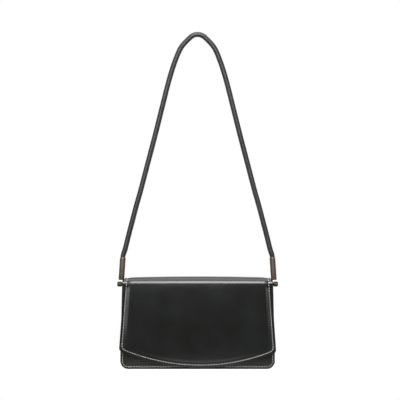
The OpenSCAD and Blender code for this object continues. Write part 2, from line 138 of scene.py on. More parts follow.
class NodeBoard:
    """One material's or world's node tree."""

    def __init__(self, tree: bpy.types.NodeTree) -> None:
        """Empties the tree and keeps it."""
        self.tree = tree
        tree.nodes.clear()

    def node(
        self,
        kind: str,
        settings: dict | None = None,
        sockets: dict | None = None,
        out: str | int = 0,
    ) -> Wire:
        """Adds one node.

        Args:
            kind: the node's type.
            settings: its settings, set first; "stops" holds a ramp's stops.
            sockets: values or wires by socket name, identifier or number.
            out: the output to return.

        Returns:
            The chosen output, or an empty wire from a node without outputs.
        """
        made = self.tree.nodes.new(kind)
        for key, value in (settings or {}).items():
            if key == "stops":
                self._ramp(made, value)
            else:
                setattr(made, key, value)
        for key, value in (sockets or {}).items():
            socket = self._find(made.inputs, key)
            if isinstance(value, Wire):
                self.tree.links.new(value.socket, socket)
            elif isinstance(value, tuple) and socket.type == "RGBA":
                socket.default_value = (*value, 1.0)
            else:
                socket.default_value = value
        return Wire(self, self._find(made.outputs, out) if made.outputs else None)

    @staticmethod
    def _ramp(made: bpy.types.Node, stops: Profile) -> None:
        """Sets a ramp's stops, each a place and a grey."""
        elements = made.color_ramp.elements
        for element, (place, grey) in zip(elements, stops):
            element.position = place
            element.color = (grey, grey, grey, 1.0)

    @staticmethod
    def _find(sockets: object, key: str | int) -> bpy.types.NodeSocket:
        """Returns the socket with that number, identifier or name."""
        if isinstance(key, int):
            return sockets[key]
        for socket in sockets:
            if socket.identifier == key:
                return socket
        return sockets[key]

    def place(self) -> Wire:
        """Returns the object coordinates, in metres."""
        return self.node("ShaderNodeTexCoord", out="Object")

    def axis(self, vector: Wire, name: str) -> Wire:
        """Returns one coordinate of a vector, named X, Y or Z."""
        return self.node("ShaderNodeSeparateXYZ", None, {0: vector}, name)

    def noise(self, size_mm: float, detail: float = 2.0, rough: float = 0.5) -> Wire:
        """Returns noise from 0 to 1, with blotches of that size and finer ones on them."""
        sockets = {
            "Vector": self.place(),
            "Scale": 1 / (size_mm * MM),
            "Detail": detail,
            "Roughness": rough,
        }
        return self.node("ShaderNodeTexNoise", None, sockets, "Fac")

    def cells(self, size_mm: float) -> Wire:
        """Returns the distance within a pattern of rounded cells of that size."""
        sockets = {"Vector": self.place(), "Scale": 1 / (size_mm * MM)}
        return self.node("ShaderNodeTexVoronoi", {"feature": "SMOOTH_F1"}, sockets, "Distance")

    def ramp(self, value: Wire, start: float, end: float) -> Wire:
        """Returns 0 where value is under start, and 1 where it is over end."""
        return self.node("ShaderNodeValToRGB", {"stops": [(start, 0.0), (end, 1.0)]}, {0: value})

    def mix(self, share: object, first: object, second: object) -> Wire:
        """Returns the colour between first and second."""
        sockets = {"Factor_Float": share, "A_Color": first, "B_Color": second}
        return self.node("ShaderNodeMix", {"data_type": "RGBA"}, sockets, "Result_Color")

    def bump(
        self, height: Wire, depth_mm: float, strength: float = 1.0, under: Wire | None = None
    ) -> Wire:
        """Returns a normal bent by height.

        Args:
            height: the height, from 0 to 1.
            depth_mm: how deep it is at 1.
            strength: how much of it shows.
            under: a normal that it lies on.

        Returns:
            The bent normal.
        """
        sockets: dict = {"Height": height, "Distance": depth_mm * MM, "Strength": strength}
        if under is not None:
            sockets["Normal"] = under
        return self.node("ShaderNodeBump", None, sockets)

    def surface(self, tone: object, roughness: object, normal: Wire, **others: object) -> None:
        """Ends a material in one Principled surface.

        Args:
            tone: the base colour.
            roughness: the roughness.
            normal: the bent normal.
            others: other sockets, with an underscore for each space in a name.
        """
        sockets = {key.replace("_", " "): value for key, value in others.items()}
        sockets.update({"Base Color": tone, "Roughness": roughness, "Normal": normal})
        shader = self.node("ShaderNodeBsdfPrincipled", None, sockets)
        self.node("ShaderNodeOutputMaterial", None, {"Surface": shader})


@dataclass(frozen=True)
class Finish:
    """A finish that is built once and then shared, under a name that no slot has."""

    name: str
    colour: Colour

    def make(self) -> bpy.types.Material:
        """Returns the finish's material, building it the first time."""
        found = bpy.data.materials.get(self.name)
        if found is None:
            found = bpy.data.materials.new(self.name)
            found.use_nodes = True
            self.build(NodeBoard(found.node_tree))
        return found

    def build(self, board: NodeBoard) -> None:
        """Writes the finish's nodes on the board."""
        raise NotImplementedError

    def tint(self, share: float) -> Colour:
        """Returns the finish's colour times share."""
        return tuple(c * share for c in self.colour)


@dataclass(frozen=True)
class Leather(Finish):
    """Dyed leather: two close tones, a pore grain, slow waves and a soft shine."""

    second: Colour
    roughness: float
    grain_mm: float = 0.7
    grain_depth: float = 0.05
    wave_depth: float = 0.25
    wave_mm: float = 60.0

    def build(self, board: NodeBoard) -> None:
        """Writes the leather's nodes."""
        clouds = board.noise(45.0, detail=3.0, rough=0.55)
        fine = board.noise(1.6, rough=0.6)
        creases = board.noise(self.grain_mm * 3.0, detail=4.0, rough=0.6)
        height = board.cells(self.grain_mm) * 0.6 + creases * 0.5
        waves = board.bump(board.noise(self.wave_mm, detail=1.0, rough=0.4), self.wave_depth)
        board.surface(
            board.mix(board.ramp(clouds, 0.35, 0.7), self.colour, self.second),
            clouds * 0.1 + fine * 0.08 + (self.roughness - 0.09),
            board.bump(height, self.grain_depth, 0.6, waves),
        )


@dataclass(frozen=True)
class EdgePaint(Finish):
    """Rubbery edge paint on a cut leather edge, slightly uneven."""

    roughness: float = 0.34

    def build(self, board: NodeBoard) -> None:
        """Writes the edge paint's nodes."""
        lumps = board.noise(2.4)
        board.surface(
            board.mix(lumps, self.colour, self.tint(1.5)),
            lumps * 0.15 + (self.roughness - 0.07),
            board.bump(lumps, 0.12, 0.7),
        )


@dataclass(frozen=True)
class Thread(Finish):
    """Waxed sewing thread, whose twist comes round once in twist_mm."""

    twist_mm: float = 0.6981317

    def build(self, board: NodeBoard) -> None:
        """Writes the thread's nodes."""
        spot = board.place()
        slant = board.axis(spot, "X") + board.axis(spot, "Y") * 0.4 + board.axis(spot, "Z")
        tone = board.mix(board.noise(6.0), self.colour, self.tint(0.72))
        board.surface(tone, 0.62, board.bump(slant.wave(self.twist_mm), 0.06, 0.6))


@dataclass(frozen=True)
class Twill(Finish):
    """Lining cloth with a fine diagonal rib."""

    rib_mm: float = 0.55

    def build(self, board: NodeBoard) -> None:
        """Writes the cloth's nodes."""
        spot = board.place()
        slant = board.axis(spot, "X") + board.axis(spot, "Y") + board.axis(spot, "Z") * 0.8
        rib = slant.wave(self.rib_mm)
        slub = board.noise(0.9, rough=0.6)
        soft = board.bump(board.noise(28.0), 0.5)
        board.surface(
            board.mix(rib * 0.7 + slub * 0.3, self.tint(0.7), self.tint(1.5)),
            slub * 0.1 + 0.78,
            board.bump(rib * 0.7 + slub * 0.4, 0.09, 0.8, soft),
            Sheen_Weight=0.15,
        )


@dataclass(frozen=True)
class AgedMetal(Finish):
    """Brass or steel with clouds of tarnish and specks; crust makes the tarnish dull."""

    tarnish: Colour
    roughness: float
    cover: float = 0.5
    crust: float = 0.0
    cloud_mm: float = 4.5
    speck_mm: float = 0.55

    def build(self, board: NodeBoard) -> None:
        """Writes the metal's nodes."""
        clouds = board.noise(self.cloud_mm, detail=4.0, rough=0.65)
        specks = board.noise(self.speck_mm, detail=3.0, rough=0.7)
        mixed = clouds * 0.55 + specks * 0.45
        share = board.ramp(mixed, 0.5 - self.cover * 0.3, 0.72 - self.cover * 0.2)
        board.surface(
            board.mix(share, self.colour, self.tarnish),
            specks * 0.22 + clouds * 0.1 + (self.roughness - 0.16),
            board.bump(specks, 0.03, 0.5, board.bump(clouds, 0.05, 0.5)),
            Metallic=1 - share * self.crust,
        )


@dataclass(frozen=True)
class PressedBoard(Finish):
    """Fibre board with a flecked surface."""

    def build(self, board: NodeBoard) -> None:
        """Writes the board's nodes."""
        fleck = board.noise(0.8, detail=3.0, rough=0.7)
        tone = board.mix(fleck, self.tint(0.7), self.tint(1.3))
        board.surface(tone, 0.85, board.bump(fleck, 0.1, 0.6))


@dataclass(frozen=True)
class TwistedCord(Finish):
    """Cotton filler cord with a slanting lay."""

    lay_mm: float = 1.6

    def build(self, board: NodeBoard) -> None:
        """Writes the cord's nodes."""
        spot = board.place()
        lay = (board.axis(spot, "Z") + board.axis(spot, "Y") * 0.8).wave(self.lay_mm)
        board.surface(board.mix(lay, self.tint(0.55), self.colour), 0.9, board.bump(lay, 0.25, 0.8))


FLAP_LEATHER = Leather("flap_leather", (0.0050, 0.0051, 0.0043), (0.0072, 0.0076, 0.0083), 0.23)
PANEL_LEATHER = Leather(
    "panel_leather",
    (0.0046, 0.0050, 0.0037),
    (0.0074, 0.0077, 0.0060),
    roughness=0.24,
    grain_mm=0.8,
    grain_depth=0.10,
    wave_depth=0.3,
)
STRAP_LEATHER = Leather(
    "strap_leather",
    (0.014, 0.014, 0.0145),
    (0.025, 0.025, 0.026),
    roughness=0.40,
    grain_mm=0.8,
    grain_depth=0.10,
    wave_depth=0.12,
    wave_mm=25.0,
)
INNER_LEATHER = Leather(
    "inside_hide",
    (0.020, 0.0185, 0.0175),
    (0.028, 0.026, 0.024),
    roughness=0.58,
    grain_mm=0.8,
    grain_depth=0.10,
    wave_depth=0.2,
)
EDGE_PAINT = EdgePaint("edge_paint", (0.022, 0.022, 0.021))
STITCH_THREAD = Thread("stitch_thread", (0.80, 0.79, 0.74))
INNER_THREAD = Thread("inner_thread", (0.05, 0.048, 0.045))
LINING_TWILL = Twill("lining_twill", (0.018, 0.018, 0.020))
AGED_BRASS = AgedMetal(
    "worn_brass", (0.15, 0.105, 0.064), (0.048, 0.033, 0.023), 0.58, cover=0.75, crust=0.75
)
# Lighter brass: rubbed wear, and a painted highlight on the ferrules' rims and the middle of the
# post heads.
RUBBED_AND_HIGHLIGHT_BRASS = AgedMetal(
    "rubbed_and_highlight_brass", (0.42, 0.36, 0.27), (0.20, 0.16, 0.12), 0.45, cover=0.4, crust=0.3
)
# Darker copy of the same brass for the posts and link rings: painted shade, so they show less light
# than the ferrules.
DARKER_BRASS = AgedMetal(
    "darker_brass", (0.072, 0.060, 0.040), (0.026, 0.022, 0.016), 0.50, cover=0.75, crust=0.75
)
PLATED_STEEL = AgedMetal("plated_steel", (0.62, 0.62, 0.60), (0.45, 0.45, 0.44), 0.30, cover=0.3)
DARK_MAGNET = AgedMetal("dark_magnet", (0.09, 0.09, 0.092), (0.05, 0.05, 0.052), 0.55)
FIBRE_BOARD = PressedBoard("fibre_board", (0.055, 0.048, 0.040))
FILLER_CORD = TwistedCord("cotton_cord", (0.62, 0.58, 0.50))


class Lay(Enum):
    """The side of an open sheet, by its own normals, that a hide's thickness goes to."""

    BEHIND = -1.0
    BEFORE = 1.0


@dataclass(frozen=True)
class Ply:
    """A kind of hide or cloth: its thickness, how far its edges are rounded, and its finishes."""

    thick: float
    edge: float
    face: Finish
    rim: Finish = EDGE_PAINT


class Bench:
    """Modelling steps on one mesh at a time, with Blender's own operators."""

    @staticmethod
    def clear() -> None:
        """Deselects everything, in object mode."""
        if bpy.context.mode != "OBJECT":
            bpy.ops.object.mode_set(mode="OBJECT")
        bpy.ops.object.select_all(action="DESELECT")

    @staticmethod
    def pick(obj: Obj) -> None:
        """Selects obj alone and makes it active."""
        Bench.clear()
        obj.select_set(True)
        bpy.context.view_layer.objects.active = obj

    @staticmethod
    @contextmanager
    def editing(obj: Obj) -> Iterator[None]:
        """Holds obj in edit mode, with all of it selected at first."""
        Bench.pick(obj)
        bpy.ops.object.mode_set(mode="EDIT")
        bpy.ops.mesh.select_all(action="SELECT")
        yield
        bpy.ops.object.mode_set(mode="OBJECT")

    @staticmethod
    def named(name: str) -> Obj:
        """Names the new active object and its mesh, and returns it."""
        obj = bpy.context.active_object
        obj.name = name
        obj.data.name = name
        return obj

    @staticmethod
    def sheet(name: str, rows: Rows) -> Obj:
        """Lays a grid primitive over rows of points.

        Args:
            name: the new piece's name.
            rows: rows of points in millimetres, all of one length.

        Returns:
            The open sheet, with its map in UV.
        """
        Bench.clear()
        bpy.ops.mesh.primitive_grid_add(
            x_subdivisions=len(rows[0]) - 1, y_subdivisions=len(rows) - 1, size=1
        )
        obj = Bench.named(name)
        obj.data.vertices.foreach_set("co", [c * MM for row in rows for spot in row for c in spot])
        obj.data.update()
        return obj

    @staticmethod
    def modify(obj: Obj, kind: str, **settings: object) -> None:
        """Adds a modifier with those settings and applies it.

        Args:
            obj: the piece.
            kind: the modifier's type.
            settings: its settings.
        """
        Bench.pick(obj)
        modifier = obj.modifiers.new(kind.lower(), kind)
        for key, value in settings.items():
            setattr(modifier, key, value)
        bpy.ops.object.modifier_apply(modifier=modifier.name)

    @staticmethod
    def _weigh(obj: Obj, cut: Callable[[Vector], bool], limit: float = 50.0) -> None:
        """Marks for the bevel the edges sharper than limit, apart from those on the cut."""
        mesh = obj.data
        normals: dict[tuple[int, int], list[Vector]] = {}
        for face in mesh.polygons:
            for key in face.edge_keys:
                normals.setdefault(key, []).append(face.normal.copy())
        weights = mesh.attributes.new("bevel_weight_edge", "FLOAT", "EDGE")
        values = []
        for line in mesh.edges:
            sides = normals.get(tuple(sorted(line.vertices)), [])
            first, second = (mesh.vertices[v].co for v in line.vertices)
            sharp = len(sides) == 2 and sides[0].angle(sides[1], 0.0) > math.radians(limit)
            values.append(1.0 if sharp and not cut((first + second) / (2 * MM)) else 0.0)
        weights.data.foreach_set("value", values)

    @staticmethod
    def shade(obj: Obj, angle: float = 40.0) -> Obj:
        """Shades the piece smooth, apart from edges sharper than angle."""
        Bench.pick(obj)
        bpy.ops.object.shade_smooth_by_angle(angle=math.radians(angle))
        return obj

    @staticmethod
    def outward(obj: Obj, merge: float = 0.001) -> Obj:
        """Merges doubles and turns every face of a closed shape outwards."""
        with Bench.editing(obj):
            bpy.ops.mesh.remove_doubles(threshold=merge * MM)
            bpy.ops.mesh.normals_make_consistent(inside=False)
        return obj

    @staticmethod
    def turned(name: str, stations: Profile, sides: int = 48) -> Obj:
        """Turns a piece on a lathe by extruding a disc from station to station.

        Args:
            name: the new piece's name.
            stations: (height, radius) pairs in millimetres, each an extrusion; a
                height that falls again bores into the piece.
            sides: how many sides the disc has.

        Returns:
            The closed piece, standing on +Z.
        """
        Bench.clear()
        height, radius = stations[0]
        bpy.ops.mesh.primitive_circle_add(
            vertices=sides, radius=radius * MM, fill_type="NGON", location=(0, 0, height * MM)
        )
        obj = Bench.named(name)
        bpy.ops.object.transform_apply(location=True, rotation=False, scale=False)
        with Bench.editing(obj):
            for upper, wider in stations[1:]:
                bpy.ops.mesh.extrude_region_move(
                    TRANSFORM_OT_translate={"value": (0, 0, (upper - height) * MM)}
                )
                if wider != radius:
                    grow = wider / radius
                    bpy.ops.transform.resize(
                        value=(grow, grow, 1), center_override=(0, 0, upper * MM)
                    )
                height, radius = upper, wider
        return Bench.shade(Bench.outward(obj), 35.0)

    @staticmethod
    def put(obj: Obj, where: Point, *turns: tuple[str, float]) -> None:
        """Turns the mesh about the origin and then moves it to its place.

        Args:
            obj: the piece.
            where: its place in millimetres.
            turns: (axis, degrees) pairs, made in order.
        """
        matrix = Matrix.Identity(4)
        for axis, degrees in turns:
            matrix = Matrix.Rotation(math.radians(degrees), 4, axis) @ matrix
        obj.data.transform(Matrix.Translation(Vector(where) * MM) @ matrix)
        obj.data.update()

    @staticmethod
    def join(name: str, parts: Sequence[Obj]) -> Obj:
        """Joins parts into one piece of that name."""
        Bench.clear()
        for part in parts:
            part.select_set(True)
        bpy.context.view_layer.objects.active = parts[0]
        bpy.ops.object.join()
        return Bench.named(name)

    @staticmethod
    def copied(obj: Obj, matrix: Matrix) -> Obj:
        """Returns a copy of obj whose own mesh is moved by that matrix."""
        copy = obj.copy()
        copy.data = obj.data.copy()
        copy.data.transform(matrix)
        bpy.context.scene.collection.objects.link(copy)
        return copy

    @staticmethod
    def mirrored(obj: Obj, name: str) -> Obj:
        """Returns a copy of obj on the other side of the bag, faces outwards."""
        copy = Bench.copied(obj, Matrix.Scale(-1, 4, (1, 0, 0)))
        copy.name = name
        copy.data.name = name
        copy.data.flip_normals()
        copy.data.update()
        return copy

    @staticmethod
    def dress(obj: Obj, *finishes: Finish) -> Obj:
        """Gives the piece those finishes, in slot order."""
        obj.data.materials.clear()
        for finish in finishes:
            obj.data.materials.append(finish.make())
        return obj

    @staticmethod
    def layer(
        name: str,
        rows: Rows,
        ply: Ply,
        lay: Lay = Lay.BEHIND,
        cut: Callable[[Vector], bool] = lambda spot: False,
    ) -> Obj:
        """Makes one closed and dressed layer of hide or cloth.

        Args:
            name: the new piece's name.
            rows: rows of points in millimetres.
            ply: what it is made of.
            lay: the side of the rows that its thickness goes to.
            cut: says which places lie on a cut that stays square.

        Returns:
            The layer.
        """
        obj = Bench.sheet(name, rows)
        Bench.modify(obj, "SUBSURF", levels=1, render_levels=1, boundary_smooth="PRESERVE_CORNERS")
        Bench.modify(
            obj,
            "SOLIDIFY",
            thickness=ply.thick * MM,
            offset=lay.value,
            use_even_offset=True,
            material_offset_rim=1,
        )
        if ply.edge > 0:
            Bench._weigh(obj, cut)
            Bench.modify(obj, "BEVEL", width=ply.edge * MM, segments=2, limit_method="WEIGHT")
        return Bench.dress(Bench.shade(obj), ply.face, ply.rim)


@dataclass
class Seam:
    """A row of single stitches along a line, each slanted by that many degrees."""

    pitch: float = 3.9
    length: float = 2.25
    thick: float = 0.95
    slant: float = 9.0
    flatness: float = 0.8
    lift: float = 0.12
    thread: Finish = STITCH_THREAD

    def _single(self) -> Obj:
        """Models one stitch, lying along X with the hide below it."""
        Bench.clear()
        bpy.ops.mesh.primitive_uv_sphere_add(
            segments=8, ring_count=6, radius=0.5 * MM, rotation=(0, math.pi / 2, 0)
        )
        one = bpy.context.active_object
        bpy.ops.object.transform_apply(location=False, rotation=True, scale=False)
        with Bench.editing(one):
            bpy.ops.transform.resize(value=(self.length, self.thick, self.thick * self.flatness))
        bpy.ops.object.shade_smooth()
        return one

    def run(
        self, name: str, line: Line, keep: Callable[[Vector], bool] = lambda spot: True
    ) -> Obj:
        """Sews along a line.

        Args:
            name: the new piece's name.
            line: (point, outward normal) pairs in millimetres.
            keep: says whether a stitch at that point is sewn.

        Returns:
            All the stitches as one piece.
        """
        one = self._single()
        parts = []
        left = self.pitch / 2  # from the start of a stretch to its next stitch
        for (start, first), (end, last) in zip(line, line[1:]):
            span = (end - start).length
            while left <= span and span > 0:
                share = left / span
                spot = start.lerp(end, share)
                left += self.pitch
                if keep(spot):
                    matrix = self._seat(spot, end - start, first.lerp(last, share))
                    parts.append(Bench.copied(one, matrix))
            left -= span
        bpy.data.objects.remove(one)
        return Bench.dress(Bench.join(name, parts), self.thread)

    def _seat(self, spot: Vector, along: Vector, normal: Vector) -> Matrix:
        """Returns the matrix that lays the single stitch on a spot of the seam."""
        x = along.normalized()
        z = (normal - x * normal.dot(x)).normalized()
        turn = Matrix((x, z.cross(x), z)).transposed().to_4x4()
        slanted = turn @ Matrix.Rotation(math.radians(self.slant), 4, "Z")
        return Matrix.Translation((spot + z * self.thick * self.lift) * MM) @ slanted


INNER_SEAM = Seam(pitch=3.2, length=2.3, thick=0.4, thread=INNER_THREAD)


class Side(Enum):
    """The front or the back of the bag, with the direction of y that it faces."""

    FRONT = -1
    BACK = 1

    @property
    def word(self) -> str:
        """The side as the names of the pieces have it."""
        return self.name.lower()


@dataclass(frozen=True)
class BagSizes:
    """The sizes that the sub-assemblies share, in millimetres, as the solids have them."""

    panel_bottom: float = 227.0
    panel_top: float = 221.0
    panel_h: float = 123.0
    corner: float = 12.0
    sharpest: float = 0.5
    front_y: float = -26.8
    back_y: float = 31.2
    leather: float = 1.4
    board: float = 1.2
    lining: float = 0.6
    flange: float = 7.5
    seam_in: float = 3.2
    gusset_top: float = 119.0
    ear_half: float = 10.0
    ear_top: float = 131.0
    base_seam: float = 95.2
    post_z: float = 124.0

    @property
    def mid_y(self) -> float:
        """The middle of the bag from front to back."""
        return (self.front_y + self.back_y) / 2

    @property
    def lean(self) -> float:
        """The angle that the panel's sides lean in by, in radians."""
        return math.atan((self.panel_bottom - self.panel_top) / 2 / self.panel_h)

    def face_y(self, side: Side) -> float:
        """Where a panel's outer face lies."""
        return self.front_y if side is Side.FRONT else self.back_y

    def board_y(self, side: Side) -> float:
        """Where the inner face of a panel's board lies."""
        return self.face_y(side) - side.value * (self.leather + self.board)

    def lining_y(self, side: Side) -> float:
        """Where the inner face of a panel's lining lies."""
        return self.board_y(side) - side.value * self.lining

    def side_x(self, inset: float, z: float) -> float:
        """Where the panel's side line, moved in by inset, lies at height z."""
        return self.panel_bottom / 2 - (inset + z * math.sin(self.lean)) / math.cos(self.lean)

    def corner_at(self, inset: float) -> Point:
        """Returns the bottom corner's centre x, centre z and radius for an inset."""
        radius = max(self.corner - inset, self.sharpest)
        x = self.side_x(inset, inset) - radius * (1 + math.sin(self.lean)) / math.cos(self.lean)
        return x, inset + radius, radius

    def half_width(self, inset: float, z: float) -> float:
        """Half the width of the panel's outline, moved in by inset, at height z."""
        x, centre_z, radius = self.corner_at(inset)
        if z >= centre_z:
            return self.side_x(inset, z)
        drop = min(radius, centre_z - z)
        return x + math.sqrt(radius * radius - drop * drop)

    def edge_point(self, inset: float, share: float) -> tuple[float, float]:
        """A point on the right half of the outline.

        Args:
            inset: how far the outline is moved in.
            share: 0 at the top of the side, 1 where the corner starts, 2 where it
                ends, and 3 at the middle of the bottom.

        Returns:
            The point's x and z.
        """
        x, centre_z, radius = self.corner_at(inset)
        if share <= 1:
            z = self.panel_h + (self.corner - self.panel_h) * share
            return self.side_x(inset, z), z
        if share <= 2:
            angle = self.lean - (share - 1) * (self.lean + math.pi / 2)
            return x + radius * math.cos(angle), centre_z + radius * math.sin(angle)
        return x * (3 - share), inset


SIZES = BagSizes()


@dataclass
class RolledStrap:
    """The rolled leather strap, with its glued seam on the inner side.

    half_route holds the x and z of its centre line, from the right ferrule up.
    """

    radius: float = 3.65
    swell: float = 0.3
    swell_h: float = 7.0
    mouth_z: float = 163.0
    exit_x: float = 110.0
    exit_z: float = 158.0
    groove: float = 0.10
    groove_turn: float = 0.16
    waver: float = 0.05
    step: float = 3.2
    sides: int = 20
    half_route: Profile = (
        (110.9, 145.0), (109.58, 164.92), (106.5, 175), (101, 197), (95.5, 218), (90, 239),
        (84, 260), (78.5, 281), (73, 302), (67.5, 323), (62, 344), (56.5, 366), (51, 388),
        (45.5, 410), (39.5, 432), (32.5, 453), (24.5, 471), (13, 484), (6.5, 489),
    )
    top: tuple[float, float] = (0, 490.5)

    def route(self) -> list[Vector]:
        """Returns the smooth centre line, from the right ferrule to the left one."""
        full = [*self.half_route, self.top, *((-x, z) for x, z in reversed(self.half_route))]
        knots = [Vector((x, SIZES.mid_y, z)) for x, z in full]
        line = []
        for i in range(len(knots) - 1):
            near = [knots[min(max(i + k, 0), len(knots) - 1)] for k in (-1, 0, 1, 2)]
            steps = max(2, round((near[2] - near[1]).length / self.step))
            line += [self._between(*near, k / steps) for k in range(steps)]
        return line + [knots[-1]]

    @staticmethod
    def _between(a: Vector, b: Vector, c: Vector, d: Vector, t: float) -> Vector:
        """Returns the place at share t from b to c, on the smooth curve through all four."""
        spot = 2 * b + (c - a) * t
        spot += (2 * a - 5 * b + 4 * c - d) * t * t
        spot += (3 * b - a - 3 * c + d) * t**3
        return 0.5 * spot

    def rows(self, line: Sequence[Vector]) -> Rows:
        """Returns one round of points for each place on the line, grooved at the seam."""
        side = Vector((0, 1, 0))
        rows: Rows = []
        for i, spot in enumerate(line):
            ahead = (line[min(i + 1, len(line) - 1)] - line[max(i - 1, 0)]).normalized()
            inner = ahead.cross(side).normalized()
            swell = self.swell * smooth(self.mouth_z, self.mouth_z + self.swell_h, spot.z)
            uneven = self.waver * math.sin(i * 0.9 + math.sin(i * 0.37) * 2)
            row = []
            for angle in spread(0, 2 * math.pi, self.sides + 1):
                groove = self.groove * bell(angle - math.pi, self.groove_turn)
                r = (self.radius + swell) * (1 - groove) + uneven * (0.5 + 0.5 * math.cos(angle))
                out = inner * (r * math.cos(angle))
                row.append(tuple(spot + out + side * (r * math.sin(angle))))
            rows.append(row)
        return rows

    def build(self) -> None:
        line = self.route()
        strap = Bench.sheet("rolled_strap", self.rows(line))
        with Bench.editing(strap):
            bpy.ops.mesh.remove_doubles(threshold=0.002 * MM)
            bpy.ops.mesh.select_all(action="DESELECT")
            bpy.ops.mesh.select_mode(type="EDGE")
            bpy.ops.mesh.select_non_manifold(extend=False)
            bpy.ops.mesh.edge_face_add()
        Bench.outward(strap)
        with Bench.editing(strap):
            bpy.ops.mesh.fill_holes(sides=0)  # whichever end is still open
        Bench.shade(strap, 70.0)
        Bench.dress(strap, STRAP_LEATHER)
        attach(strap, "strap")
        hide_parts("strap_leather")
        length = sum((b - a).length for a, b in zip(line, line[1:])) * MM
        [tuple(p * MM) for p in line]
        log.info("strap: %.0f mm of centre line", length / MM)


@dataclass
class StrapHardware:
    """Ferrule, link ring and post of the right end, and their mirror images.

    A profile is a list of (height, radius) stations for the lathe: the ferrule's foot
    from its lower end, its rim from its upper end, the post's foot from the gusset, and
    the post's head from where its neck ends.
    """

    ferrule_x: float = 111.9
    ferrule_z: float = 130.0
    lean: float = 3.8
    length: float = 33.0
    foot: Profile = (
        (0.35, 3.2), (0.1, 3.75), (0.0, 3.95), (0.25, 4.15), (0.6, 4.25), (2.2, 4.25),
        (2.35, 4.12), (2.6, 4.12), (2.75, 4.25),
    )
    rim: Profile = (
        (-1.5, 4.25), (-1.35, 4.15), (-1.2, 4.3), (-0.9, 4.5), (-0.35, 4.5), (-0.08, 4.36),
        (0.0, 4.15), (-0.05, 3.9), (-0.4, 3.75),
    )
    rim_h: float = 1.3
    bore_end: tuple[float, float] = (1.2, 3.75)
    eye: Profile = (
        (-0.8, 1.0), (-0.8, 1.55), (-0.6, 1.75), (0.6, 1.75), (0.8, 1.55), (0.8, 1.0),
        (0.65, 0.9), (-0.65, 0.9), (-0.8, 1.0),
    )
    eye_bore: float = 0.97
    neck_size: Point = (2.4, 1.5, 1.5)
    neck_up: float = 1.75
    ring_x: float = 108.6
    ring_major: float = 3.3
    ring_wire: float = 0.65
    ring_up: float = 1.05
    ring_turn: float = 30.0
    head_x: float = 111.0
    post_foot: Profile = (
        (-0.4, 3.0), (-0.4, 4.0), (0.0, 4.2), (0.65, 4.2), (0.95, 3.95), (1.0, 3.4),
        (1.0, 2.75), (1.15, 2.5), (2.2, 2.5), (2.45, 2.3), (2.5, 1.6), (2.7, 1.5),
    )
    post_head: Profile = (
        (0.0, 1.5), (0.0, 2.5), (0.2, 3.1), (0.65, 3.55), (1.4, 3.8), (2.9, 3.8),
        (3.05, 3.66), (3.35, 3.66), (3.5, 3.8), (5.1, 3.8), (5.9, 3.6), (6.5, 3.25),
        (6.9, 2.75), (7.0, 2.4), (6.9, 2.2), (6.7, 1.7), (5.8, 1.5),
    )
    # Where the head's end takes the lighter brass: a painted glint with rubbed wear.
    wear_and_glint_from: float = 6.5
    wear_and_glint_within: float = 2.45

    @staticmethod
    def moved(profile: Profile, up: float) -> Profile:
        """Returns a profile with all its heights moved up."""
        return [(height + up, radius) for height, radius in profile]

    def ferrule(self) -> Obj:
        """Builds the right ferrule with its foot, rolled rim and eye lug."""
        stations = [*self.foot, *self.moved(self.rim, self.length), self.bore_end]
        tube = Bench.turned("ferrule_right_tube", stations, 64)
        place = (self.ferrule_x, SIZES.mid_y, self.ferrule_z)
        Bench.put(tube, place, ("Y", -self.lean))
        piece = Bench.join("ferrule_tube_right", [tube, self._lug()])
        Bench.dress(piece, AGED_BRASS, RUBBED_AND_HIGHLIGHT_BRASS)
        lean = math.radians(self.lean)
        axis = Vector((-math.sin(lean), 0, math.cos(lean)))
        # The rim's faces take the lighter brass: rubbed wear with a painted highlight along the
        # rim.
        for face in piece.data.polygons:
            up = (face.center / MM - Vector(place)).dot(axis)
            face.material_index = int(up > self.length - self.rim_h)
        return Bench.shade(piece, 35.0)

    def _lug(self) -> Obj:
        """Builds the eye lug under the ferrule, seated on top of the link ring."""
        eye = Bench.turned("eye", self.eye, 32)
        self._open_eye(eye)
        Bench.put(eye, (0, 0, 0), ("X", 90))
        bpy.ops.mesh.primitive_cube_add(size=1)
        neck = Bench.named("lug_neck")
        neck.data.transform(Matrix.Diagonal((*(side * MM for side in self.neck_size), 1)))
        Bench.put(neck, (0, 0, self.neck_up))
        Bench.modify(neck, "BEVEL", width=0.25 * MM, segments=2)
        lug = Bench.join("lug", [eye, neck])
        top = SIZES.post_z + self.ring_up + self.ring_major
        Bench.put(lug, (self.ring_x, SIZES.mid_y, top), ("Z", self.ring_turn))
        return lug

    def _open_eye(self, eye: Obj) -> None:
        """Deletes the eye's end discs and all within its bore, and bridges the gap."""
        with Bench.editing(eye):
            bpy.ops.mesh.select_all(action="DESELECT")
        spots = [vertex.co for vertex in eye.data.vertices]
        for face in eye.data.polygons:
            reach = max(math.hypot(spots[v].x, spots[v].y) for v in face.vertices)
            face.select = len(face.vertices) > 8 or reach < self.eye_bore * MM
        bpy.ops.object.mode_set(mode="EDIT")
        bpy.ops.mesh.delete(type="FACE")
        bpy.ops.mesh.select_all(action="DESELECT")
        bpy.ops.mesh.select_mode(type="EDGE")
        bpy.ops.mesh.select_non_manifold(extend=False)
        bpy.ops.mesh.bridge_edge_loops()
        bpy.ops.object.mode_set(mode="OBJECT")
        Bench.outward(eye)

    def ring(self) -> Obj:
        """Builds the right link ring."""
        Bench.clear()
        bpy.ops.mesh.primitive_torus_add(
            major_segments=56,
            minor_segments=16,
            major_radius=self.ring_major * MM,
            minor_radius=self.ring_wire * MM,
        )
        ring = Bench.named("link_ring_right")
        place = (self.ring_x, SIZES.mid_y, SIZES.post_z + self.ring_up)
        Bench.put(ring, place, ("Y", 90), ("Z", self.ring_turn))
        # The ring's darker brass is painted shade.
        return Bench.shade(Bench.dress(ring, DARKER_BRASS), 60.0)

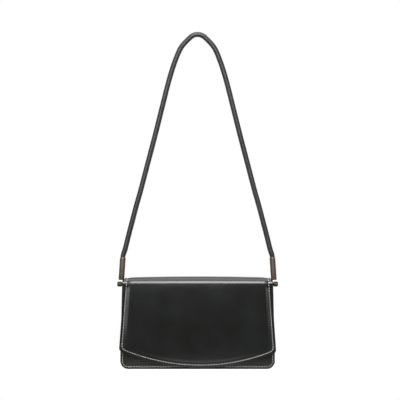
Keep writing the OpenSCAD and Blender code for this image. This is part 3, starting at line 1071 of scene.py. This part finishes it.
    def post(self) -> Obj:
        """Builds the right strap post: foot flange, collar, neck and barrel head."""
        foot = SIZES.side_x(SIZES.flange, SIZES.post_z)
        stations = [*self.post_foot, *self.moved(self.post_head, self.head_x - foot)]
        piece = Bench.turned("strap_post_right_turned", stations, 56)
        Bench.put(piece, (foot, SIZES.mid_y, SIZES.post_z), ("Y", 90))
        # The post's body takes the darker brass, which is painted shade.
        Bench.dress(piece, DARKER_BRASS, RUBBED_AND_HIGHLIGHT_BRASS)
        # The middle of the head's end takes the lighter brass: a painted glint, with rubbed wear.
        for face in piece.data.polygons:
            x, y, z = face.center / MM
            across = math.hypot(y - SIZES.mid_y, z - SIZES.post_z)
            wear_and_glint = x > self.head_x + self.wear_and_glint_from and across < self.wear_and_glint_within
            face.material_index = int(wear_and_glint)
        return Bench.shade(piece, 35.0)

    def build(self) -> None:
        """Builds both ends."""
        ferrule, ring, post = self.ferrule(), self.ring(), self.post()
        for made, node, body in (
            (ferrule, "ferrule", "strap"),
            (ring, "strap_ring", "strap"),
            (post, "strap_post", "bag"),
        ):
            other = Bench.mirrored(made, made.name.replace("right", "left"))
            for piece, end in ((made, "right"), (other, "left")):
                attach(piece, body)
                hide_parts(f"{node}_{end}")
        log.info("strap hardware: ferrules, link rings and posts")


class Zone(Enum):
    """The stretches of the flap, from the strip on the back to the hem."""

    BACK = "back"
    BACK_FOLD = "back fold"
    TOP = "top"
    FRONT_FOLD = "front fold"
    FRONT = "front"
    HEM = "hem"


Station = tuple[Zone, float]


@dataclass
class Flap:
    """The flap: one hide from the back strip over both folds to the curved hem.

    Its sizes are millimetres, apart from brow_reach and brow_fade, which are shares of
    the way down from the front fold to the hem.
    """

    half_d: float = 32.6
    fold_r: float = 11.0
    fold_z: float = 124.0
    root_z: float = 101.0
    back_half: float = 103.5
    shoulder_half: float = 105.5
    top_half: float = 108.0
    low_half: float = 115.0
    low_z: float = 25.79
    hem_low: float = 2.0
    hem_r: float = 290.0
    hem_zone: float = 13.5
    corner_r: float = 3.5
    stitch_in: float = 3.9
    stitch_corner: float = 5.0
    strip_stitch_up: float = 2.6
    droop: float = 1.5
    droop_half: float = 105.0
    droop_rise: float = 0.3
    crown: float = 0.7
    brow: float = 0.42
    brow_reach: float = 0.075
    brow_fade: float = 0.6
    skew: float = 1.6
    border_in: float = 4.6
    border_slope: float = 5.6
    border_drop: float = 1.15
    border_ease: float = 0.5
    fold_drop: float = 0.55
    hem_drop: float = 0.12
    leather: float = 1.4
    board: float = 1.0
    lining: float = 0.8
    lining_in: float = 0.8
    glue: float = 0.02
    edges: tuple[float, ...] = (
        0, 0.7, 1.7, 2.8, 3.4, 3.9, 4.4, 4.9, 5.8, 6.8, 7.8, 8.8, 9.8, 11.2,
    )
    hem_edges: tuple[float, ...] = (
        12.5, 11.0, 9.4, 8.2, 7.2, 6.2, 5.2, 4.4, 3.9, 3.4, 2.8, 2.2, 1.6, 1.1, 0.6, 0.25, 0,
    )

    @property
    def fold_y(self) -> float:
        """How far the folds' centres lie from the middle, front and back."""
        return self.half_d - self.fold_r

    def stations(self) -> list[Station]:
        """Returns the rows of the flap, from the back strip's lower edge to the hem."""
        strip = spread(self.root_z + 2, self.fold_z - 2, 8)
        stretches = {
            Zone.BACK: [self.root_z, self.root_z + 0.8, *strip],
            Zone.BACK_FOLD: spread(0, 90, 13),
            Zone.TOP: spread(self.fold_y, -self.fold_y, 15)[1:-1],
            Zone.FRONT_FOLD: spread(90, 0, 13),
            Zone.FRONT: [0.015, 0.03, 0.05, *spread(0.08, 0.965, 26)],
            Zone.HEM: self.hem_edges,
        }
        return [(zone, value) for zone, values in stretches.items() for value in values]

    def hem_z(self, x: float, inset: float) -> float:
        """Height of the hem's curve, moved in by inset, at x."""
        radius = self.hem_r - inset
        return self.hem_low + self.hem_r - math.sqrt(max(radius * radius - x * x, 0))

    def half_at(self, zone: Zone, value: float) -> float:
        """Half the flap's width at a station."""
        if zone in (Zone.BACK, Zone.BACK_FOLD):
            return self.back_half
        if zone is Zone.TOP:
            share = (self.fold_y - value) / (2 * self.fold_y)
            return self.back_half + (self.shoulder_half - self.back_half) * share
        if zone is Zone.FRONT_FOLD:
            share = math.cos(math.radians(value))
            return self.shoulder_half + (self.top_half - self.shoulder_half) * share
        half = self.low_half
        for _ in range(4):
            down = self.fold_z - self.height(zone, value, half)
            wider = (self.low_half - self.top_half) * down / (self.fold_z - self.low_z)
            half = self.top_half + wider
        if zone is Zone.HEM and value < self.corner_r:
            half -= self.corner_r - math.sqrt(self.corner_r**2 - (self.corner_r - value) ** 2)
        return half

    def height(self, zone: Zone, value: float, x: float) -> float:
        """Height of the front or hem at x, before the flap's slight skew."""
        if zone is Zone.FRONT:
            return self.fold_z + value * (self.hem_z(x, self.hem_zone) - self.fold_z)
        return self.hem_z(x, value)

    def spot(self, zone: Zone, value: float, x: float, sink: float) -> Vector:
        """A point at a station.

        Args:
            zone: the stretch of the flap.
            value: the place along that stretch.
            x: the place across the flap.
            sink: how far the point lies below the flap's outer surface.

        Returns:
            The point, in millimetres.
        """
        sag = self.droop * (x / self.droop_half) ** 2 - self.droop_rise
        if zone is Zone.BACK:
            return Vector((x, self.half_d - sink, value))
        if zone is Zone.TOP:
            return Vector((x, value, self.fold_z + self.fold_r - sink - sag))
        if zone in (Zone.BACK_FOLD, Zone.FRONT_FOLD):
            side = 1 if zone is Zone.BACK_FOLD else -1
            a = math.radians(value)
            r = self.fold_r - sink
            z = self.fold_z + r * math.sin(a) - sag * math.sin(a) ** 2
            return Vector((x, side * (self.fold_y + r * math.cos(a)), z))
        z = self.height(zone, value, x)
        down = (self.fold_z - z) / (self.fold_z - self.hem_low)
        z -= self.skew * (x / self.low_half) * down
        return Vector((x, -self.half_d + sink - self.bulge(x, down), z))

    def bulge(self, x: float, down: float) -> float:
        """How far the filled front stands out, at share down from the fold to the hem."""
        across = max(0.0, 1 - (x / self.low_half) ** 2)
        crown = self.crown * math.sin(math.pi * min(1, down) ** 0.8) * across
        brow = self.brow * (1 - math.exp(-max(0.0, down) / self.brow_reach))
        return crown + brow * (1 - smooth(self.brow_fade, 1.0, down)) * across**0.3

    def columns(self, half: float, margin: float) -> list[float]:
        """Places across the flap, close together near its edges."""
        side = [half - margin] + [half - e for e in self.edges if e > margin]
        return side + spread(side[-1], -side[-1], 27)[1:-1] + [-x for x in reversed(side)]

    def sheet_rows(
        self,
        stations: Sequence[Station],
        sink: Callable[[Zone, float, float], float],
        margin: float = 0,
    ) -> Rows:
        """Rows of points for one layer of the flap.

        Args:
            stations: the rows' places along the flap.
            sink: depth below the outer surface, from zone, place and distance to the edge.
            margin: how far the layer stays inside the flap's edge.

        Returns:
            The rows, each from right to left.
        """
        rows: Rows = []
        for zone, value in stations:
            if zone is Zone.HEM and value < margin:
                continue
            half = self.half_at(zone, value)
            row = []
            for x in self.columns(half, margin):
                edge = min(half - abs(x), value if zone is Zone.HEM else half)
                row.append(tuple(self.spot(zone, value, x, sink(zone, value, edge))))
            rows.append(row)
        return rows

    def board_share(self, zone: Zone, value: float) -> float:
        """How much of the board's thickness lies under a station: none over the folds."""
        if zone is Zone.HEM:
            return 1.0
        return smooth(0.0, 0.06, value) if zone is Zone.FRONT else 0.0

    def border_at(self, zone: Zone, value: float) -> float:
        """How far the stitched border lies below the filled face at a station."""
        low = 1.0 if zone is Zone.HEM else 0.0
        if zone is Zone.FRONT:
            low = smooth(0.5, 0.96, value)
        more = self.border_drop - self.fold_drop - self.border_ease * low
        drop = self.fold_drop + more * self.board_share(zone, value)
        if zone is Zone.BACK:
            drop *= smooth(self.root_z, self.fold_z, value)
        if zone is Zone.HEM:
            drop += (self.hem_drop - drop) * smooth(11.0, 4.0, value)
        return drop

    def leather_sink(self, zone: Zone, value: float, edge: float) -> float:
        """Depth of the hide's grain side: low in the border, pressed in at the stitches."""
        up = (edge - self.border_in) / self.border_slope
        face = 0.35 * smooth(0.0, 1.0, up) + 0.65 * min(1.0, max(0.0, up))
        return self.border_at(zone, value) * (1 - face) + pressed_in(edge - self.stitch_in)

    def lining_sink(self, zone: Zone, value: float, edge: float) -> float:
        """Depth of the lining's hidden side."""
        thick = self.board * self.board_share(zone, value) * smooth(3.0, 8.0, edge)
        lower = self.leather_sink(zone, value, 3.0 if edge < 5 else edge)
        return self.leather + self.glue + max(thick, min(lower, self.border_drop + 0.05))

    def stitch_line(self) -> Line:
        """The stitched line, from the right end of the strip round to the left end."""
        places = [
            (zone, value, self.half_at(zone, value) - self.stitch_in)
            for zone, value in self.stations()
            if zone is not Zone.HEM
        ]
        corner = self.stitch_corner
        reach = self.half_at(Zone.HEM, self.stitch_in + corner) - self.stitch_in
        for share in spread(0, 1, 9):
            up, across = corner * (1 - share) ** 2, corner * share**2
            places.append((Zone.HEM, self.stitch_in + up, reach - across))
        places += [(Zone.HEM, self.stitch_in, x) for x in spread(reach - corner - 1.2, 0, 60)]
        line = []
        for zone, value, x in places + [(z, v, -x) for z, v, x in reversed(places[:-1])]:
            sink = self.leather_sink(zone, value, self.stitch_in)
            out = self.spot(zone, value, x, sink)
            line.append((out, out - self.spot(zone, value, x, sink + 1)))
        return line

    @staticmethod
    def share_out(obj: Obj, side: Side) -> None:
        """Bakes the piece's transform into its mesh, the same for the front half and the back half.
        """
        if side is Side.FRONT:
            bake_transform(obj)
        else:
            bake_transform(obj)

    @staticmethod
    def on_cut(spot: Vector) -> bool:
        """Says whether a place lies where the flap's back half meets its front half."""
        return abs(spot.y) < 0.3 and spot.z > 128

    def build(self) -> None:
        """Builds the hide, the lining and the stitching."""
        rows = self.stations()
        middle = next(i for i, (zone, y) in enumerate(rows) if zone is Zone.TOP and y <= 0.01)
        leather = Ply(self.leather, 0.32, FLAP_LEATHER)
        lining = Ply(self.lining, 0.15, INNER_LEATHER)
        for side, part, hide_nodes, lining_node in (
            (Side.BACK, rows[: middle + 1], ("flap_leather_back", "flap_leather_top"), "top"),
            (Side.FRONT, rows[middle:], ("flap_leather_front",), "front"),
        ):
            grain = self.sheet_rows(part, self.leather_sink)
            hide = Bench.layer(f"flap_hide_{side.word}", grain, leather, cut=self.on_cut)
            self.share_out(hide, side)
            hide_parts(*hide_nodes)
            inside = self.sheet_rows(part, self.lining_sink, self.lining_in)
            cloth = Bench.layer(f"flap_lining_{side.word}", inside, lining, cut=self.on_cut)
            self.share_out(cloth, side)
            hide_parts(f"flap_lining_{lining_node}")
        line = self.stitch_line()
        for side in (Side.BACK, Side.FRONT):
            sewn = Seam().run(
                f"flap_stitching_{side.word}",
                line,
                lambda spot, front=side is Side.FRONT: (spot.y < 0.0) == front,
            )
            self.share_out(sewn, side)
        reach = self.back_half - self.stitch_in
        strip = level_line(reach, self.half_d, self.root_z + self.strip_stitch_up, 1, 60)
        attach(Seam().run("flap_strip_stitching", strip), "bag")
        log.info("flap: hide, lining and stitching")


@dataclass
class Panels:
    """Front and back panels, their facings, linings and stitched edges."""

    crown: float = 0.35
    crown_mid: float = 60.0
    crown_half: float = 62.0
    facing_z: float = 103.0
    overlap: float = 2.0
    inner_in: float = 9.3
    facing_thick: float = 0.5
    facing_gap: float = 0.25
    facing_stitch_up: float = 2.2
    drops: tuple[float, ...] = (0, 0.6, 1.6, 3.2)
    edges: tuple[float, ...] = (0, 0.7, 1.7, 2.7, 3.2, 3.7, 4.7, 6.2, 8.0, 10.5)

    def rows(self, inset: float, low: float, high: float, y: Surface) -> Rows:
        """Rows over the panel's outline.

        Args:
            inset: how far the layer stays inside the panel's outline.
            low: height of the lowest row, or 0 for the outline's own bottom.
            high: height of the top row.
            y: the surface's y at x and z.

        Returns:
            Rows from the top down, each from left to right.
        """
        _, centre_z, radius = SIZES.corner_at(inset)
        heights = [high - drop for drop in self.drops]
        heights += spread(high - 6, max(centre_z, low), 22)
        if low <= inset:
            heights += [centre_z - radius * math.sin(math.radians(a)) for a in spread(9, 90, 12)]
        rows: Rows = []
        for z in heights:
            half = SIZES.half_width(inset, z)
            side = [e - half for e in self.edges]
            xs = side + spread(side[-1], -side[-1], 25)[1:-1] + [-x for x in reversed(side)]
            rows.append([(x, y(x, z), z) for x in xs])
        return rows

    def face(self, side: Side) -> Surface:
        """Returns a panel's outer face: slightly crowned, pressed in along the seam."""

        def y(x: float, z: float) -> float:
            """Returns the face's y at x and z."""
            edge = min(SIZES.half_width(0, z) - abs(x), z)
            over = smooth(4.5, 16, edge) * max(0.0, arch((z - self.crown_mid) / self.crown_half))
            out = self.crown * over - pressed_in(edge - SIZES.seam_in)
            return SIZES.face_y(side) + side.value * out

        return y

    @staticmethod
    def seam_line(y: float, out: float) -> Line:
        """The stitched line round a panel's sides and bottom, on the plane y, facing out."""
        shares = spread(0.012, 1, 30) + spread(1, 2, 14)[1:] + spread(2, 3, 30)[1:]
        right = [SIZES.edge_point(SIZES.seam_in, share) for share in shares]
        both = right + [(-x, z) for x, z in reversed(right[:-1])]
        return [(Vector((x, y, z)), Vector((0, out, 0))) for x, z in both]

    def layers(self, side: Side) -> None:
        """Builds one panel with the lining and the facing on its inner side."""
        sign = side.value
        inner_y = SIZES.board_y(side)
        lay = Lay.BEFORE if side is Side.FRONT else Lay.BEHIND

        def cloth(x: float, z: float) -> float:
            """Returns the lining's y at x and z, in slight waves."""
            return inner_y - sign * (0.1 + 0.12 * math.sin(x * 0.11) * math.sin(z * 0.09))

        rows = self.rows(0, 0, SIZES.panel_h, self.face(side))
        hide = Ply(SIZES.leather, 0.3, PANEL_LEATHER)
        panel = Bench.layer(f"{side.word}_panel_hide", rows, hide, lay)
        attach(panel, "bag")
        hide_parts(f"{side.word}_panel")

        rows = self.rows(self.inner_in, 0, self.facing_z + self.overlap, cloth)
        twill = Ply(SIZES.lining * 0.7, 0.0, LINING_TWILL, LINING_TWILL)
        low = Bench.layer(f"{side.word}_lining_cloth", rows, twill, lay)
        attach(low, "bag")
        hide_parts(f"{side.word}_lining")

        gap = sign * self.facing_gap
        high = SIZES.panel_h - 0.2
        rows = self.rows(self.inner_in, self.facing_z, high, lambda x, z: inner_y - gap)
        facing = Ply(self.facing_thick, 0.12, INNER_LEATHER)
        band = Bench.layer(f"{side.word}_mouth_facing", rows, facing, lay)
        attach(band, "bag")
        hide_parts(f"{side.word}_facing")

    def stitching(self, side: Side) -> None:
        """Sews one panel's seam, seen from both sides, and its facing's lower edge."""
        sign = side.value
        base = SIZES.face_y(side)
        for name, y, out in (
            (f"{side.word}_seam_stitching", base, sign),
            (f"{side.word}_seam_reverse_stitching", base - sign * 2 * SIZES.leather, -sign),
        ):
            sewn = Seam(thick=0.82).run(name, self.seam_line(y - out * 0.1, out))
            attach(sewn, "bag")
        y = SIZES.board_y(side) - sign * (self.facing_gap + self.facing_thick + 0.03)
        line = level_line(99, y, self.facing_z + self.facing_stitch_up, -sign, 40)
        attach(INNER_SEAM.run(f"{side.word}_facing_stitching", line), "bag")

    def build(self) -> None:
        """Builds both panels with what is glued and sewn to them."""
        for side in Side:
            self.layers(side)
            self.stitching(side)
        log.info("panels: hides, facings, linings and stitching")


@dataclass
class Gussets:
    """Side and base gussets with seams turned outwards, and the lining inside them.

    A profile runs from the front seam over the wall to the back seam, as pairs of an
    inset from the panel's outline and a y.
    """

    wave: float = 0.18
    bend: Profile = (
        (0, 0), (0.7, 0), (1.8, 0), (2.7, 0), (3.2, 0), (3.7, 0), (5.0, 0.02), (6.2, 0.2),
        (6.95, 0.65), (7.35, 1.3), (7.5, 2.3),
    )
    ear: tuple[float, ...] = (2.6, 5.2, 7.4, 8.8, 9.6, 9.9, 10.15, 10.6, 11.5, 14)
    lined_ear: tuple[float, ...] = (3.6, 6.6, 8.4, 9.2, 9.9, 10.6, 11.5)
    ear_flare: float = 1.2
    straight_z: float = 96.0
    lining_in: float = 2.65
    lining_low: float = 10.7
    lining_thick: float = 0.4

    @staticmethod
    def across(
        front: float, back: float, ear: Sequence[float], clear: float, few: int
    ) -> list[float]:
        """Places on the wall, from front to back.

        Args:
            front: the first place.
            back: the last place.
            ear: the distances from the middle of the close places round the ear.
            clear: the distance from which the places are even.
            few: how many even places there are on either side.

        Returns:
            The places' y.
        """
        mid = SIZES.mid_y
        near = [mid - e for e in reversed(ear)] + [mid] + [mid + e for e in ear]
        return spread(front, mid - clear, few) + near + spread(mid + clear, back, few)

    def profile(self) -> list[tuple[float, float]]:
        """Returns the profile of the visible face."""
        front = SIZES.front_y + 2 * SIZES.leather
        back = SIZES.back_y - 2 * SIZES.leather
        wall = [(SIZES.flange, y) for y in self.across(front + 3.4, back - 3.4, self.ear, 16, 4)]
        turned = [(i, back - d) for i, d in reversed(self.bend)]
        return [(i, front + d) for i, d in self.bend] + wall + turned

    def top_at(self, inset: float, y: float) -> float:
        """Height of the gusset's top edge at a place on the profile: seam, wall or ear."""
        top, half = SIZES.gusset_top, SIZES.ear_half
        round_z = SIZES.ear_top - half
        off = abs(y - SIZES.mid_y)
        if off >= half + self.ear_flare:
            return top + (SIZES.panel_h - top) * (1 - smooth(1.0, 6.5, inset))
        if off <= half:
            return max(round_z + math.sqrt(half**2 - off**2), top)
        return top + (round_z - top) * (1 - smooth(0, self.ear_flare, off - half)) ** 2

    def side_rows(self, profile: Profile, extra: float, lower: float, end: float) -> Rows:
        """Rows down the right side, round the corner and along the bottom.

        Args:
            profile: the layer's profile.
            extra: a further inset for an inner layer.
            lower: how far its top edge stays below the gusset's.
            end: where it ends, as an outline share of 2 or more.

        Returns:
            Rows from the top edge to that end.
        """
        rows: Rows = []
        low = self.straight_z
        for share in spread(1, 0, 16):
            row = []
            for inset, y in profile:
                z = low + (self.top_at(inset, y) - lower - low) * share
                ripple = math.sin(z * 0.12) * math.sin((y - SIZES.mid_y) * 0.11) * (inset > 7)
                row.append((SIZES.side_x(inset + extra + self.wave * ripple, z), y, z))
            rows.append(row)
        start = (SIZES.panel_h - low) / (SIZES.panel_h - SIZES.corner)
        shares = spread(start, 1, 16)[1:] + spread(1, 2, 12)[1:]
        shares += [s for s in spread(2, 3, 20)[1:] if s < end] + ([end] if end > 2 else [])
        for share in shares:
            spots = [(*SIZES.edge_point(inset + extra, share), y) for inset, y in profile]
            rows.append([(x, y, z) for x, z, y in spots])
        return rows

    def build(self) -> None:
        """Builds the gussets and their lining."""
        profile = self.profile()
        hide = Ply(SIZES.leather, 0.28, PANEL_LEATHER)
        seam_share = 3 - SIZES.base_seam / SIZES.corner_at(0)[0]
        rows = self.side_rows(profile, 0, 0, seam_share - 0.02)
        right = Bench.layer("side_gusset_hide_right", rows, hide, Lay.BEFORE)
        left = Bench.mirrored(right, "side_gusset_hide_left")
        for piece, end in ((right, "right"), (left, "left")):
            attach(piece, "bag")
            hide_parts(f"side_gusset_{end}")
        reach = SIZES.base_seam - 0.3
        rows = [
            [(x, y, inset + 0.06 * math.sin(x * 0.2)) for inset, y in profile]
            for x in spread(reach, -reach, 40)
        ]
        base = Bench.layer("base_gusset_hide", rows, hide, Lay.BEFORE)
        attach(base, "bag")
        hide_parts("base_gusset")
        self.lining()
        log.info("gussets: hides and lining")

    def lining(self) -> None:
        """Builds the cloth strip that lines both gussets and the base."""
        front, back = SIZES.lining_y(Side.FRONT), SIZES.lining_y(Side.BACK)
        ys = self.across(front, back, self.lined_ear, 15, 5)
        side = self.side_rows([(SIZES.flange, y) for y in ys], self.lining_in, 0.5, 2.0)
        low = self.lining_low
        right = [[(x, y, max(z, low + 0.02)) for x, y, z in row] for row in side]
        left = [[(-x, y, z) for x, y, z in row] for row in reversed(right)]
        reach = right[-1][0][0] - 3
        bottom = [
            [(x, y, low + 0.3 + 0.15 * math.sin(x * 0.09) * math.sin(y * 0.13)) for y in ys]
            for x in spread(reach, -reach, 40)
        ]
        rows = right + bottom + left
        twill = Ply(self.lining_thick, 0.0, LINING_TWILL, LINING_TWILL)
        strip = Bench.layer("gusset_and_base_lining", rows, twill, Lay.BEFORE)
        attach(strip, "bag")
        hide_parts("gusset_lining_left", "gusset_lining_right", "base_lining")


@dataclass
class SlipPocket:
    """The leather slip pocket on the back lining."""

    half_w: float = 60.0
    low: float = 28.0
    high: float = 98.0
    depth: float = 7.0
    thick: float = 0.8
    sag_from: float = 70.0
    stitch_down: float = 3.4

    def row(self, back: float, z: float) -> list[Point]:
        """Points across the pocket at one height: a cheek, the front and the other cheek."""
        out = self.thick + self.depth * (z - self.low) / (self.high - self.low)
        dip = 0.35 * math.cos((z - 60) * 0.05)
        cheek = [(-self.half_w, back - share * out, z) for share in (0, 0.4, 0.75)]
        corner = min(1.2, out * 0.3)
        cheek.append((-self.half_w + 0.1, back - out + corner, z))
        front = []
        inner = spread(3 - self.half_w, self.half_w - 3, 22)
        for x in (corner - self.half_w, *inner, self.half_w - corner):
            sag = 0.5 * smooth(self.sag_from, self.high, z) * arch(x / self.half_w) ** 2
            front.append((x, back - out + 0.02 + dip * 0.3 * math.cos(x * 0.08) - sag, z))
        return cheek + front + [(-x, y, z) for x, y, z in reversed(cheek)]

    def build(self) -> None:
        """Builds the pocket as one sheet bent round both cheeks."""
        back = SIZES.lining_y(Side.BACK)
        heights = spread(self.high, self.high - 2, 3) + spread(self.high - 6, self.low + 1.2, 18)
        rows = [self.row(back, z) for z in (*heights, self.low + 0.4, self.low)]
        hide = Ply(self.thick, 0.2, INNER_LEATHER)
        pocket = Bench.layer("slip_pocket_hide", rows, hide, Lay.BEFORE)
        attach(pocket, "bag")
        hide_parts("slip_pocket")
        line = []
        for x in spread(-57, 57, 30):
            y = back - self.thick - self.depth - 0.25 - 0.45 * arch(x / self.half_w) ** 2
            line.append((Vector((x, y, self.high - self.stitch_down)), Vector((0, -1, 0.05))))
        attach(INNER_SEAM.run("pocket_stitching", line), "bag")
        log.info("slip pocket")


@dataclass
class MagneticSnap:
    """The hidden magnetic snap: socket on the panel, stud on the flap's lining.

    Its profiles are (height, radius) stations for the lathe.
    """

    z: float = 32.0
    stud_gap: float = 2.6
    foot_r: float = 8.6
    rim: Profile = ((0.0, 9.0), (0.8, 9.0), (1.05, 8.85), (1.2, 8.5))
    hollow: Profile = ((1.2, 4.1), (1.15, 3.75), (1.0, 3.55), (0.8, 3.45), (0.2, 3.4))
    pin: Profile = ((1.2, 3.3), (1.25, 3.05), (1.4, 3.0), (2.0, 3.0), (2.2, 2.9), (2.3, 2.6))

    def build(self) -> None:
        """Builds the socket's cap and the stud with rounded rims."""
        front = SIZES.front_y
        for half, y, turn, body, foot, middle in (
            ("socket", front, 90, "bag", -0.5, self.hollow),
            ("stud", front - self.stud_gap, -90, "flap_front", -0.3, self.pin),
        ):
            stations = [(foot, self.foot_r), *self.rim, *middle]
            piece = Bench.turned(f"snap_{half}_cap", stations, 56)
            Bench.put(piece, (0, y, self.z), ("X", turn))
            Bench.dress(piece, AGED_BRASS)
            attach(piece, body)
            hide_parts(f"snap_{half}")
        log.info("magnetic snap")


@dataclass(frozen=True)
class KeptSolids:
    """Finishes for the rigid solids that keep their own shape."""

    boards: tuple[str, ...] = (
        "front_board",
        "back_board",
        "gusset_board_left",
        "gusset_board_right",
        "base_board",
        "flap_board",
    )
    nuts: tuple[str, ...] = ("post_nut_left", "post_nut_right")
    plates: tuple[str, ...] = ("snap_socket_base", "snap_socket_plate", "snap_stud_plate")

    def dress(self, nodes: dict[str, Obj]) -> None:
        """Gives every kept solid its finish."""
        for finish, names in (
            (FIBRE_BOARD, self.boards),
            (AGED_BRASS, self.nuts),
            (PLATED_STEEL, self.plates),
            (DARK_MAGNET, ("snap_magnet",)),
            (FILLER_CORD, ("strap_core",)),
        ):
            for name in names:
                Bench.dress(nodes[name], finish)
        log.info("kept solids dressed")


@dataclass(frozen=True)
class Lamp:
    """One soft rectangular lamp over or before the bag, with all its sizes in metres."""

    name: str
    where: Point
    aim_z: float
    size: tuple[float, float]
    glow: float

    def light(self) -> None:
        """Makes the lamp, as bright as its glow and turned to a height over the origin."""
        data = bpy.data.lights.new(self.name, "AREA")
        data.shape = "RECTANGLE"
        data.size, data.size_y = self.size
        data.energy = self.glow * math.pi * self.size[0] * self.size[1]
        lamp = bpy.data.objects.new(self.name, data)
        lamp.location = self.where
        aim = Vector((0, 0, self.aim_z)) - Vector(self.where)
        lamp.rotation_euler = aim.to_track_quat("-Z", "Y").to_euler()
        bpy.context.scene.collection.objects.link(lamp)


@dataclass(frozen=True)
class Studio:
    """White paper and background, soft lamps and the photograph's camera, in metres.

    The paper's places are millimetres, as a sheet's rows are. The background shines at
    full strength for the camera, and at the strength of room for all that it lights.
    """

    centre_x: float = 0.0035
    centre_z: float = 0.2472
    camera_z: float = 0.20
    distance: float = 8.0
    bag_front: float = 0.0326
    frame_w: float = 0.5845
    sensor_mm: float = 36.0
    reach: float = 100.0
    paper_x: tuple[float, ...] = (-1500.0, 0.0, 1500.0)
    paper_y: tuple[float, ...] = (-120.0, 0.0, 900.0)
    paper_grey: float = 0.5
    paper_glow: float = 0.72
    room: float = 0.12
    back_from: float = 0.35
    lamps: tuple[Lamp, ...] = (
        Lamp("front_softbox", (0.0, -1.5, 1.08), 0.125, (0.72, 1.0), 13.5),
        Lamp("overhead_softbox", (0.0, -0.2, 1.7), 0.1, (1.6, 1.5), 3.3),
        Lamp("left_strip", (-0.95, -1.75, 0.62), 0.12, (0.30, 0.8), 12.0),
        Lamp("right_strip", (0.95, -1.75, 0.62), 0.12, (0.28, 0.8), 6.0),
    )

    def camera(self) -> None:
        """Makes the camera: level, straight from the front, through a long lens."""
        data = bpy.data.cameras.new("photo_camera")
        data.sensor_width = self.sensor_mm
        data.lens = self.sensor_mm * (self.distance - self.bag_front) / self.frame_w
        data.shift_y = (self.centre_z - self.camera_z) / self.frame_w
        data.clip_end = self.reach
        camera = bpy.data.objects.new("photo_camera", data)
        camera.location = (self.centre_x, -self.distance, self.camera_z)
        camera.rotation_euler = (math.pi / 2, 0, 0)
        bpy.context.scene.collection.objects.link(camera)
        bpy.context.scene.camera = camera

    @staticmethod
    def _seen(board: NodeBoard) -> Wire:
        """Returns 1 for camera rays and for rays that mirror or pass through a piece."""
        kinds = ("Camera", "Glossy", "Transmission")
        first, second, third = (
            board.node("ShaderNodeLightPath", out=f"Is {kind} Ray") for kind in kinds
        )
        return first.at_least(second).at_least(third)

    def _floor(self) -> None:
        """Makes the white paper that the bag stands on."""
        rows = [[(x, y, 0.0) for y in self.paper_y] for x in self.paper_x]
        paper = Bench.sheet("white_paper", rows)
        material = bpy.data.materials.new("white_paper")
        material.use_nodes = True
        board = NodeBoard(material.node_tree)
        white = (1.0, 1.0, 1.0)
        shine = {"Color": white, "Strength": self._seen(board) * self.paper_glow}
        glow = board.node("ShaderNodeEmission", None, shine)
        diffuse = board.node("ShaderNodeBsdfDiffuse", None, {"Color": (self.paper_grey,) * 3})
        both = board.node("ShaderNodeAddShader", None, {0: diffuse, 1: glow})
        board.node("ShaderNodeOutputMaterial", None, {"Surface": both})
        paper.data.materials.append(material)

    def _world(self) -> None:
        """Makes a background: white for the camera, and behind the bag for mirrored rays."""
        world = bpy.data.worlds.new("studio")
        bpy.context.scene.world = world
        world.use_nodes = True
        board = NodeBoard(world.node_tree)
        behind = board.axis(board.node("ShaderNodeTexCoord", out="Generated"), "Y")
        far_side = board.ramp(behind, 0.0, self.back_from)
        direct = board.node("ShaderNodeLightPath", out="Is Camera Ray")
        shown = direct.at_least(self._seen(board) * far_side)
        light = {"Color": (1.0, 1.0, 1.0), "Strength": shown * (1 - self.room) + self.room}
        back = board.node("ShaderNodeBackground", None, light)
        board.node("ShaderNodeOutputWorld", None, {"Surface": back})

    def build(self) -> None:
        """Makes the paper, the lamps and the world."""
        self._floor()
        for lamp in self.lamps:
            lamp.light()
        self._world()
        bpy.context.scene.view_settings.view_transform = "Standard"
        log.info("studio")


def main() -> None:
    """Builds the dressed bag and its studio."""
    logging.basicConfig(level=logging.INFO, format="%(name)s: %(message)s")
    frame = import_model()
    studio = Studio()
    studio.camera()
    RolledStrap().build()
    StrapHardware().build()
    Flap().build()
    Panels().build()
    Gussets().build()
    SlipPocket().build()
    MagneticSnap().build()
    KeptSolids().dress(frame["nodes"])
    studio.build()
    Bench.clear()


if __name__ == "__main__":
    main()
